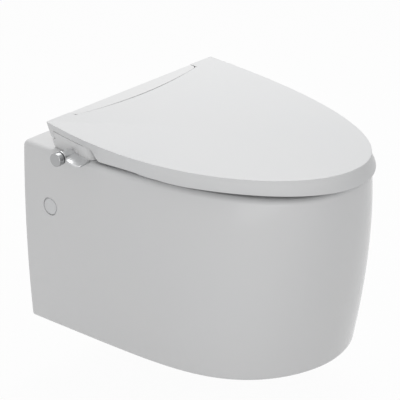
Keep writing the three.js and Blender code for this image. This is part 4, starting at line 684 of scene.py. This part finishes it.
arm_low, arm_high, arm_end, arm_link = DECK + 14, DECK + 23, -175.0, -74.0
arm = [(arm_end, arm_low), (arm_link, arm_low), (-66.2, HINGE_Z), (HINGE_Y, HINGE_Z),
       (HINGE_Y, HINGE_Z + KNUCKLE), (arm_link, arm_high), (arm_end, arm_high)]
seat_steps = [("DIFFERENCE", box((-24, -196, DECK), (24, -159, arm_low)))]
for side in (-1, 1):
    seat_steps += [
        ("UNION", plate(arm, side * ARM_IN, side * ARM_OUT)),
        ("UNION", rod(hinge(side * ARM_IN), hinge(side * ARM_OUT), KNUCKLE)),
        ("DIFFERENCE", rod(hinge(side * HOLE_IN), hinge(side * HOLE_OUT), PIN_HOLE)),
    ]
seat = carve(mesh_object("seat_ring_smooth", seat_shell()), *seat_steps)
settle(seat, "seat", "seat_ring", angle=30)

# %% [markdown]
# ## Housing, hardware and works: softened copies
# Most of the small parts have the right shape in the CAD model already, but their edges are dead
# sharp and catch no light. A copy of each solid gets its loose triangles merged, its flat faces
# joined, and a small round on every edge. The size of the round is what the process leaves:
# wide on mouldings, narrow on turned metal.

# %% Softened copies of CAD solids
def softened(node, body, edge):
    """Merges and flattens a copy of a CAD solid, then rounds its edges."""
    mesh = frame["nodes"][node].data.copy()
    mesh.materials.clear()
    work = bmesh.new()
    work.from_mesh(mesh)
    bmesh.ops.remove_doubles(work, verts=work.verts, dist=2e-6)
    bmesh.ops.dissolve_limit(work, angle_limit=math.radians(0.6), verts=work.verts,
                             edges=work.edges)
    work.to_mesh(mesh)
    work.free()
    return settle(in_scene(node + "_soft", mesh), body, node, edge=edge)


SOFT_EDGES = {
    "base_tray": ("pan", 0.35), "top_cover": ("pan", 0.5), "mounting_plate": ("pan", 0.3),
    "nozzle_block": ("pan", 0.3), "valve_body": ("pan", 0.3),
    "fixing_block_right": ("pan", 0.6), "fixing_block_left": ("pan", 0.6),
    "stud_nut_right": ("pan", 0.3), "stud_nut_left": ("pan", 0.3),
    "nozzle_guard": ("guard", 0.25), "release_button": ("button", 0.6),
}
for node, (body, edge) in SOFT_EDGES.items():
    softened(node, body, edge)

# %% [markdown]
# ## The side caps
# A side cap hides a fixing screw. It is a plug with a foot that seals the hole and a smaller face,
# so a fine groove runs round it. Both caps are turned from one section.

# %% Side caps
SIDES = (("right", -1), ("left", 1))
CAP_SECTION = [(0, 14.0), (0.5, 14.0), (0.55, 12.7), (1.9, 12.6), (2.2, 12.5), (2.4, 12.25),
               (2.5, 11.9), (2.5, 11.0)]
for name, side in SIDES:
    inner = side * (SIDE_FACE - 3.0)
    cap_at = lambda out: (inner + side * out, HOLE_Y, 0)
    cap = mesh_object(f"cover_cap_{name}", lathe(cap_at(0), cap_at(2.5), CAP_SECTION, 96))
    carve(cap, ("UNION", rod(cap_at(-2.2), cap_at(1.0), 10.2)))
    settle(cap, "pan", f"side_cap_{name}")

# %% [markdown]
# ## The control lever
# The lever is the one bright metal piece. It is turned and pressed: a hub with an end flange, a
# thumb paddle that starts high at its inner edge and scoops down to its outer one, and a round cap
# beyond a dark groove. The paddle is a stack of loops; each loop is a slab with round edges.

# %% Control lever and its cap
AXIS_Y, AXIS_Z = -108.5, DECK + 8.0
LEVER_IN, LEVER_OUT = 190.07, 214.07
TIP_Y = -148.7
INNER_Y = [TIP_Y, -139, -130.2, -122, -114.9, -109, -103.7]
INNER_Z = [6.5, 8.5, 9.9, 10.6, 11.8, 14.2, 15.2]
OUTER_Y = [-147, -138, -128, -120, -115, -109, -103.7]
OUTER_Z = [4.4, 4.1, 4.5, 6.8, 10.4, 14.2, 15.2]
HUB_SECTION = [(0, 7.4), (0.35, 8.2), (1.0, 8.6), (22.6, 8.6), (23.2, 8.9), (23.5, 9.6),
               (23.6, 10.7), (23.8, 11.15), (24.2, 11.4), (25.1, 11.4), (25.45, 11.2), (25.6, 10.8)]
KNOB_SECTION = [(0, 7.6), (1.3, 7.6), (1.45, 9.2), (1.55, 10.2), (1.8, 10.65), (2.2, 10.8),
                (10.0, 10.8), (10.6, 10.72), (11.05, 10.4), (11.3, 9.9), (11.4, 9.3), (11.4, 8.4)]
lever_at = lambda x: (-x, AXIS_Y, AXIS_Z)


def paddle():
    """Loops from tip to hub. Height goes from the inner edge's curve to the outer edge's curve by
    w^1.25. Half the thickness is T/2 * sqrt(1 - (1 - d/r)^2) at a distance d under r from the
    nearest edge."""
    radius, thick, width = 1.1, 2.8, LEVER_OUT - LEVER_IN
    edge = np.array([0.0, 0.04, 0.14, 0.34, 0.65, radius])
    flat = np.linspace(radius, width - radius, 22)[1:-1]
    across = np.concatenate([edge, flat, width - edge[::-1]])
    w = across / width
    corner = lambda distance, r: r - np.sqrt(r ** 2 - np.clip(r - distance, 0, r) ** 2)
    tip = TIP_Y + 1.6 * w ** 2 + corner(across, 2.0) + corner(width - across, 3.5)
    ahead = np.concatenate([[0.03, 0.12, 0.34, 0.65], np.linspace(radius, 45.0, 40)])
    from_edge = np.clip(np.minimum(across, width - across) / radius, 0.02, 1)
    half = thick / 2 * np.sqrt(1 - (1 - from_edge) ** 2)
    loops = []
    for e in ahead:
        y = tip + e
        high = smooth_table(np.clip(y, INNER_Y[0], INNER_Y[-1]), INNER_Y, INNER_Z)
        low = smooth_table(np.clip(y, OUTER_Y[0], OUTER_Y[-1]), OUTER_Y, OUTER_Z)
        middle = DECK + high + (low - high) * w ** 1.25 - thick / 2
        fade = math.sqrt(1 - (1 - min(e / radius, 1.0)) ** 2)
        face = lambda z: np.column_stack([-(LEVER_IN + across), y, z])
        loops.append(np.vstack([face(middle + half * fade), face(middle - half * fade)[::-1]]))
    return skin(loops)


hub = lathe(lever_at(LEVER_IN), lever_at(LEVER_OUT + 1.6), HUB_SECTION, 96)
lever = carve(mesh_object("lever_paddle", hub), ("UNION", paddle()),
              ("DIFFERENCE", rod(lever_at(LEVER_IN - 3), lever_at(LEVER_IN + 22.3), 3.3)))
settle(lever, "lever", "control_lever", angle=38)
knob = lathe(lever_at(LEVER_OUT + 1.9), lever_at(LEVER_OUT + 13.3), KNOB_SECTION, 96)
settle(mesh_object("lever_knob", knob), "lever", "lever_cap", angle=38)

# %% [markdown]
# ## The two nozzles
# The nozzles are turned bars that slide down a slope under the seat's rear edge, one for the rear
# wash and one for the bidet wash. Each is bored along its axis, with a small spray hole in a
# countersink near the tip.

# %% Nozzles
SLOPE = math.radians(18)
NOZZLE_SECTION = [(0, 2.6), (0.25, 3.3), (0.8, 3.75), (5, 5.4), (6, 5.5), (71.6, 5.5), (72, 5.1)]
COUNTERSINK = [(0, 2.0), (3.1, 3.2)]


def on_slide(x, behind, above=0.0):
    """A place on the nozzles' line: behind the tip along the slope, and above the line."""
    return (x, -149 + behind * math.cos(SLOPE) - above * math.sin(SLOPE),
            DECK + 7.6 + behind * math.sin(SLOPE) + above * math.cos(SLOPE))


for name, x in (("rear", -9.5), ("bidet", 9.5)):
    body = lathe(on_slide(x, 0), on_slide(x, 72), NOZZLE_SECTION, 72)
    spray = mesh_object(f"{name}_spray_nozzle", body)
    carve(spray, ("DIFFERENCE", rod(on_slide(x, 9), on_slide(x, 76), 2.0)),
          ("DIFFERENCE", rod(on_slide(x, 9), on_slide(x, 9, 9.5), 1.1)),
          ("DIFFERENCE", lathe(on_slide(x, 9, 4.9), on_slide(x, 9, 8.0), COUNTERSINK, 48)))
    settle(spray, f"{name}_nozzle_slider", f"{name}_nozzle")

# %% [markdown]
# ## Rubber stops and hinge pins
# A rubber stop is moulded, so its foot is domed and its side has a little draft. It is placed by
# the box of the CAD solid that it stands for. The hinge pins are plain bars with chamfered ends.

# %% Stops and pins
def domed(node, body, radius):
    """A rubber stop in the place of its CAD solid, with a rounded foot and an even draft."""
    low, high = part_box(node)
    x, y = (low.x + high.x) / 2 / MM, (low.y + high.y) / 2 / MM
    z0, z1 = low.z / MM, high.z / MM
    section = [(0, radius - 2.0), (0.15, radius - 1.0), (0.6, radius - 0.3), (1.2, radius),
               (z1 - z0, radius - 0.6)]
    stop = lathe((x, y, z0), (x, y, z1), section, 48)
    return settle(mesh_object(node + "_stop", stop), body, node)


for end in ("rear", "front"):
    for side in ("right", "left"):
        domed(f"seat_bumper_{end}_{side}", "seat", 7.5)

PIN_SECTION = [(0, 2.0), (0.5, 2.5), (27.5, 2.5), (28, 2.0)]
for name, side in SIDES:
    pin = lathe(hinge(side * 147), hinge(side * 175), PIN_SECTION, 48)
    settle(mesh_object(f"pin_{name}", pin), "pan", f"hinge_pin_{name}")

# %% [markdown]
# ## The water tail
# The supply tail gets a real thread: its radius is a wave of the way along minus the angle, so the
# crests climb in a helix. The wave is clipped, which leaves flat crests and roots, as cut threads
# have.

# %% Water tail
def threaded(start, end, root, crest, pitch):
    """Rings of radius root + (crest - root) * wave, wave from cos(2 pi z / pitch - t)."""
    start, end = np.array(start, dtype=float), np.array(end, dtype=float)
    length = np.linalg.norm(end - start)
    along = (end - start) / length
    across = np.cross(along, (0.0, 0.0, 1.0))
    up = np.cross(along, across)
    t = np.linspace(0, 2 * np.pi, 72, endpoint=False)[None, :]
    z = np.linspace(0, length, 90)[:, None]
    wave = 0.5 + 0.5 * np.clip(1.4 * np.cos(2 * np.pi * z / pitch - t), -1, 1)
    fade = np.clip(np.minimum(z, length - z) / 1.2, 0, 1)
    radius = root + (crest - root) * wave * fade
    spokes = np.cos(t)[..., None] * across + np.sin(t)[..., None] * up
    return skin(start + z[..., None] * along + radius[..., None] * spokes)


tail_low, tail_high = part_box("supply_inlet")
tail_x, tail_z = (tail_low.x + tail_high.x) / 2 / MM, (tail_low.z + tail_high.z) / 2 / MM
tail_at = lambda y: (tail_x, y, tail_z)
collar = [(0, 12.6), (0.4, 13), (2.6, 13), (3, 12.6)]
THREAD_ROOT, THREAD_CREST, THREAD_PITCH = 9.3, 10.15, 1.81
tail = mesh_object("supply_tail", rod(tail_at(-71.1), tail_at(-56.0), 9.4, sides=72))
carve(tail, ("UNION", lathe(tail_at(-63.1), tail_at(-60.1), collar, 72)),
      ("UNION", threaded(tail_at(-57.0), tail_at(-42.3), THREAD_ROOT, THREAD_CREST, THREAD_PITCH)),
      ("DIFFERENCE", rod(tail_at(-75), tail_at(-40), 6.5, sides=72)))
settle(tail, "pan", "supply_inlet", angle=40)

# %% [markdown]
# ## Finishes
# A finish is a small network of nodes. To keep it readable, one class wraps a socket so that plain
# arithmetic on it adds the Math nodes, and one method makes any other node. White goods are never
# one white: the glaze is a little thicker here and thinner there, and the mouldings carry a fine
# grain. All patterns read Object coordinates, which are metres here, so a scale is per metre.

# %% Sockets that can be added and multiplied
class Wire:
    """An output socket. Adding, subtracting or multiplying it gives a new Wire, from either
    side, so that 1 - mask works."""

    def __init__(self, recipe, socket):
        self.recipe, self.socket = recipe, socket

    def math(self, operation, a, b):
        """A Math node on two values or wires, as a new Wire."""
        made = self.recipe.node("Math", {"operation": operation}, {0: a, 1: b})
        return Wire(self.recipe, made.outputs[0])

    def __add__(self, other):
        return self.math("ADD", self, other)

    def __radd__(self, other):
        return self.math("ADD", other, self)

    def __sub__(self, other):
        return self.math("SUBTRACT", self, other)

    def __rsub__(self, other):
        return self.math("SUBTRACT", other, self)

    def __mul__(self, other):
        return self.math("MULTIPLY", self, other)

    def __rmul__(self, other):
        return self.math("MULTIPLY", other, self)


print("a Wire can be added, subtracted and multiplied")

# %% [markdown]
# ## Recipes
# A recipe is one node tree with the few methods that every finish needs: feed a socket with a value
# or a link, make a node, make a noise with its middle at zero, stack bumps, and close the material.

# %% One recipe for each node tree
class Recipe:
    """One material with its Principled shader, or a given tree that starts empty."""

    def __init__(self, name, tree=None):
        self.tree = tree
        if tree:
            tree.nodes.clear()
            return
        self.material = bpy.data.materials.new(name)
        self.material.use_nodes = True
        self.tree = self.material.node_tree
        self.shader = self.tree.nodes["Principled BSDF"]
        self.out = self.tree.nodes["Material Output"]
        self.place = self.node("TexCoord").outputs["Object"]

    def feed(self, socket, value):
        """Links a wire or a socket, or sets a plain value."""
        if isinstance(value, Wire):
            value = value.socket
        if isinstance(value, bpy.types.NodeSocket):
            self.tree.links.new(value, socket)
        else:
            socket.default_value = value

    def node(self, kind, settings=None, sockets=None):
        """Makes a node, sets it up first, then feeds its sockets."""
        made = self.tree.nodes.new("ShaderNode" + kind)
        for name, value in (settings or {}).items():
            setattr(made, name, value)
        for name, value in (sockets or {}).items():
            self.feed(made.inputs[name], value)
        return made

    def noise(self, scale, detail=2.0, roughness=0.5, stretch=None):
        """Noise with its middle taken to zero, so it runs from about -0.5 to 0.5."""
        place = self.place
        if stretch:
            place = self.node("Mapping", None, {"Vector": place, "Scale": stretch}).outputs[0]
        sockets = {"Vector": place, "Scale": scale, "Detail": detail, "Roughness": roughness}
        made = self.node("TexNoise", {"noise_dimensions": "3D"}, sockets)
        return Wire(self, made.outputs[0]) - 0.5

    def bump(self, height, distance, strength=1.0, under=None):
        """A normal tilted by a height times a distance in metres, over another one if given."""
        sockets = {"Height": height, "Distance": distance, "Strength": strength}
        if under is not None:
            sockets["Normal"] = under
        return self.node("Bump", None, sockets).outputs[0]

    def finish(self, colour, roughness, normal, others):
        """Feeds what changes over the surface, sets the other values, and gives the material."""
        self.feed(self.shader.inputs["Base Color"], colour)
        self.feed(self.shader.inputs["Roughness"], roughness)
        self.feed(self.shader.inputs["Normal"], normal)
        for name, value in others.items():
            self.shader.inputs[name].default_value = value
        return self.material


print("recipes ready")

# %% [markdown]
# ## Ceramic, mouldings, metals and rubber
# Vitreous china has a glassy glaze over a white body: a smooth reflection that wavers slightly. The
# polypropylene of seat and lid is glossy too, but softer, with a trace of orange peel. The nozzle
# housing is a little duller. Chrome mirrors what is around it, so its own colour is held down.
# A Mix node has a pair named A and B for each data type, so the colour pair is found by its type.

# %% Kinds of finish
def mix_colour(recipe, first, second, share):
    """first * (1 - share) + second * share."""
    made = recipe.node("Mix", {"data_type": "RGBA"})
    pick = lambda name: next(s for s in made.inputs if s.name == name and s.type == "RGBA")
    factor = next(s for s in made.inputs if s.name == "Factor" and s.type == "VALUE")
    recipe.feed(factor, share)
    recipe.feed(pick("A"), first + (1.0,))
    recipe.feed(pick("B"), second + (1.0,))
    return next(s for s in made.outputs if s.type == "RGBA")


def white_ware(name, warm, cool, rough, wave, grain, grain_scale, others):
    """A white surface: cloudy tint, uneven gloss, a slow waver and a fine grain (metres)."""
    r = Recipe(name)
    cloud = r.noise(7.0, 3.0)
    fine = r.noise(grain_scale, 2.0)
    colour = mix_colour(r, warm, cool, 0.5 + cloud * 0.9)
    roughness = rough + cloud * 0.10 + fine * 0.04
    slow = r.bump(r.noise(26.0, 1.0), wave, 0.5)
    return r.finish(colour, roughness, r.bump(fine, grain, 0.35, slow), others)


def metal(name, dark, light, rough, grain, grain_scale, stretch):
    """A metal: streaks along one direction change its colour, gloss and height a little."""
    r = Recipe(name)
    streak = r.noise(grain_scale, 4.0, 0.6, stretch)
    cloud = r.noise(40.0, 2.0)
    colour = mix_colour(r, dark, light, 0.5 + streak * 1.2 + cloud * 0.5)
    return r.finish(colour, rough + streak * 0.12 + cloud * 0.05, r.bump(streak, grain, 0.4),
                    {"Metallic": 1.0})


def rubber(name, dark, light, rough, grain, grain_scale, others):
    """A dull moulded face: speckled colour, pores in the height."""
    r = Recipe(name)
    speckle = r.noise(grain_scale, 3.0, 0.65)
    cloud = r.noise(30.0, 2.0)
    colour = mix_colour(r, dark, light, 0.5 + speckle * 0.9 + cloud * 0.7)
    return r.finish(colour, rough + speckle * 0.12, r.bump(speckle, grain, 0.5), others)


print("three kinds of finish: white ware, metal, rubber")

# %% [markdown]
# ## The finishes themselves
# Each slot of the record gets one finish. The values after the colours are the roughness, the bump
# heights in metres and the grain's scale per metre. The last is the way the grain is drawn for a
# metal, and the shader's other values for the rest.

# %% Finish for each slot
EVEN, DRAWN_ALONG_X, DRAWN_ALONG_Y = (1.0, 1.0, 1.0), (0.12, 1.0, 1.0), (1.0, 0.2, 1.0)
SPECULAR = "Specular IOR Level"
LOOKS = {
    "glazed_ceramic": (white_ware, (0.80, 0.80, 0.80), (0.785, 0.79, 0.80), 0.22,
                       0.00035, 0.00001, 1500.0, {SPECULAR: 0.3, "Coat Weight": 0.15,
                                                  "Coat Roughness": 0.1, "Coat IOR": 1.5}),
    "seat_plastic": (white_ware, (0.81, 0.81, 0.81), (0.79, 0.80, 0.81), 0.42,
                     0.00012, 0.000012, 2200.0, {SPECULAR: 0.35}),
    "housing_plastic": (white_ware, (0.83, 0.83, 0.83), (0.815, 0.82, 0.825), 0.4,
                        0.0001, 0.00002, 2600.0, {SPECULAR: 0.45}),
    "white_cap": (white_ware, (0.77, 0.775, 0.78), (0.755, 0.765, 0.78), 0.3,
                  0.0001, 0.000015, 2400.0, {SPECULAR: 0.5}),
    "nylon": (white_ware, (0.62, 0.61, 0.57), (0.56, 0.56, 0.53), 0.48,
              0.0001, 0.00004, 1800.0, {SPECULAR: 0.4}),
    "chrome": (metal, (0.66, 0.665, 0.67), (0.74, 0.745, 0.75), 0.3, 0.000008, 260.0, EVEN),
    "satin_chrome": (metal, (0.36, 0.365, 0.37), (0.44, 0.445, 0.45), 0.3, 0.000008, 500.0, EVEN),
    "steel": (metal, (0.40, 0.40, 0.41), (0.56, 0.56, 0.55), 0.33, 0.00002, 900.0, DRAWN_ALONG_X),
    "brass": (metal, (0.48, 0.34, 0.14), (0.63, 0.47, 0.22), 0.32, 0.00002, 700.0, DRAWN_ALONG_Y),
    "grey_rubber": (rubber, (0.36, 0.37, 0.38), (0.46, 0.47, 0.48), 0.55,
                    0.00003, 1600.0, {SPECULAR: 0.35}),
    "dark_rubber": (rubber, (0.018, 0.018, 0.02), (0.05, 0.05, 0.052), 0.62,
                    0.00004, 1400.0, {SPECULAR: 0.3}),
}
FINISH = {name: make(name, *values) for name, (make, *values) in LOOKS.items()}
print(len(FINISH), "finishes:", ", ".join(FINISH))

# %% [markdown]
# ## Which piece has which finish
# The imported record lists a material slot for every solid. A new piece takes the slot of the first
# solid that it stands for, and a solid that stays in view gets the same finish in its own slots.

# %% Dressing the pieces
slot_of = {part["node"]: part["material_slot"] for part in frame["record"]["subparts"]}
for piece, nodes in STANDS_FOR:
    slot = slot_of[nodes[0]]
    piece.data.materials.clear()
    piece.data.materials.append(FINISH["satin_chrome" if "lever_cap" in nodes else slot])
for node, solid in frame["nodes"].items():
    finish = FINISH[slot_of[node]]
    for place in solid.material_slots:
        place.material = finish
print(len(STANDS_FOR), "new pieces dressed, and", len(frame["nodes"]), "CAD solids")

# %% [markdown]
# ## The floor
# A product shot on white: the backdrop is white for the camera and for mirrors, but it lights the
# object only weakly. The floor is pale and keeps a faint shadow under the pan. It lies lower than
# the pan's foot, because the pan hangs on a wall.

# %% Floor
def backdrop_rays(recipe):
    """1 for rays of the camera, of mirrors and through glass; 0 for light that bounces."""
    path = recipe.node("LightPath")
    seen = Wire(recipe, path.outputs["Is Camera Ray"])
    return seen.math("MAXIMUM", seen.math("MAXIMUM", seen, path.outputs["Is Glossy Ray"]),
                     path.outputs["Is Transmission Ray"])


FLOOR_TOP = -304.0
floor = mesh_object("floor", box((-9000, -9000, FLOOR_TOP - 6), (9000, 9000, FLOOR_TOP)))
paper = Recipe("floor_paper")
tone = paper.noise(3.0, 2.0)
paper.finish(mix_colour(paper, (0.82, 0.82, 0.82), (0.80, 0.80, 0.80), 0.5 + tone),
             0.9, paper.bump(paper.noise(900.0), 0.00005, 0.2), {SPECULAR: 0.1})
glow = paper.node("Emission", None, {"Color": (1.0, 1.0, 1.0, 1.0), "Strength": 1.0})
BACKDROP_SHARE = 0.955
blend = paper.node("MixShader", None, {0: BACKDROP_SHARE * backdrop_rays(paper),
                                       1: paper.shader.outputs[0], 2: glow.outputs[0]})
paper.feed(paper.out.inputs["Surface"], blend.outputs[0])
floor.data.materials.append(paper.material)
print("floor at", FLOOR_TOP * MM)

# %% [markdown]
# ## Backdrop and lamps
# The world does as the floor does: full white for the rays that are seen, weak for light that
# bounces. One soft lamp above and behind on the right makes the top lightest, and a wide one low on
# the left fills the side. Both are large for their distance, so no edge of a shadow is hard.

# %% Backdrop and lamps
world = bpy.data.worlds.new("studio")
world.use_nodes = True
bpy.context.scene.world = world
sky = Recipe("sky", world.node_tree)
AMBIENT = 0.46
brightness = AMBIENT + (1.0 - AMBIENT) * backdrop_rays(sky)
background = sky.node("Background", None, {"Color": (1.0, 1.0, 1.0, 1.0), "Strength": brightness})
sky.feed(sky.node("OutputWorld").inputs["Surface"], background.outputs[0])


def softbox(name, place, aim, size, power):
    """A square lamp that looks from a place to a point, both in metres."""
    data = bpy.data.lights.new(name, "AREA")
    data.shape, data.size, data.energy = "SQUARE", size, power
    lamp = in_scene(name, data)
    lamp.location = place
    lamp.rotation_euler = (Vector(aim) - Vector(place)).to_track_quat("-Z", "Y").to_euler()


softbox("softbox_top", (0.75, 0.35, 1.5), (0.05, -0.2, 0.1), 1.2, 14.5)
softbox("softbox_front", (-2.25, -1.75, 0.4), (0.0, -0.25, -0.05), 2.2, 18.5)
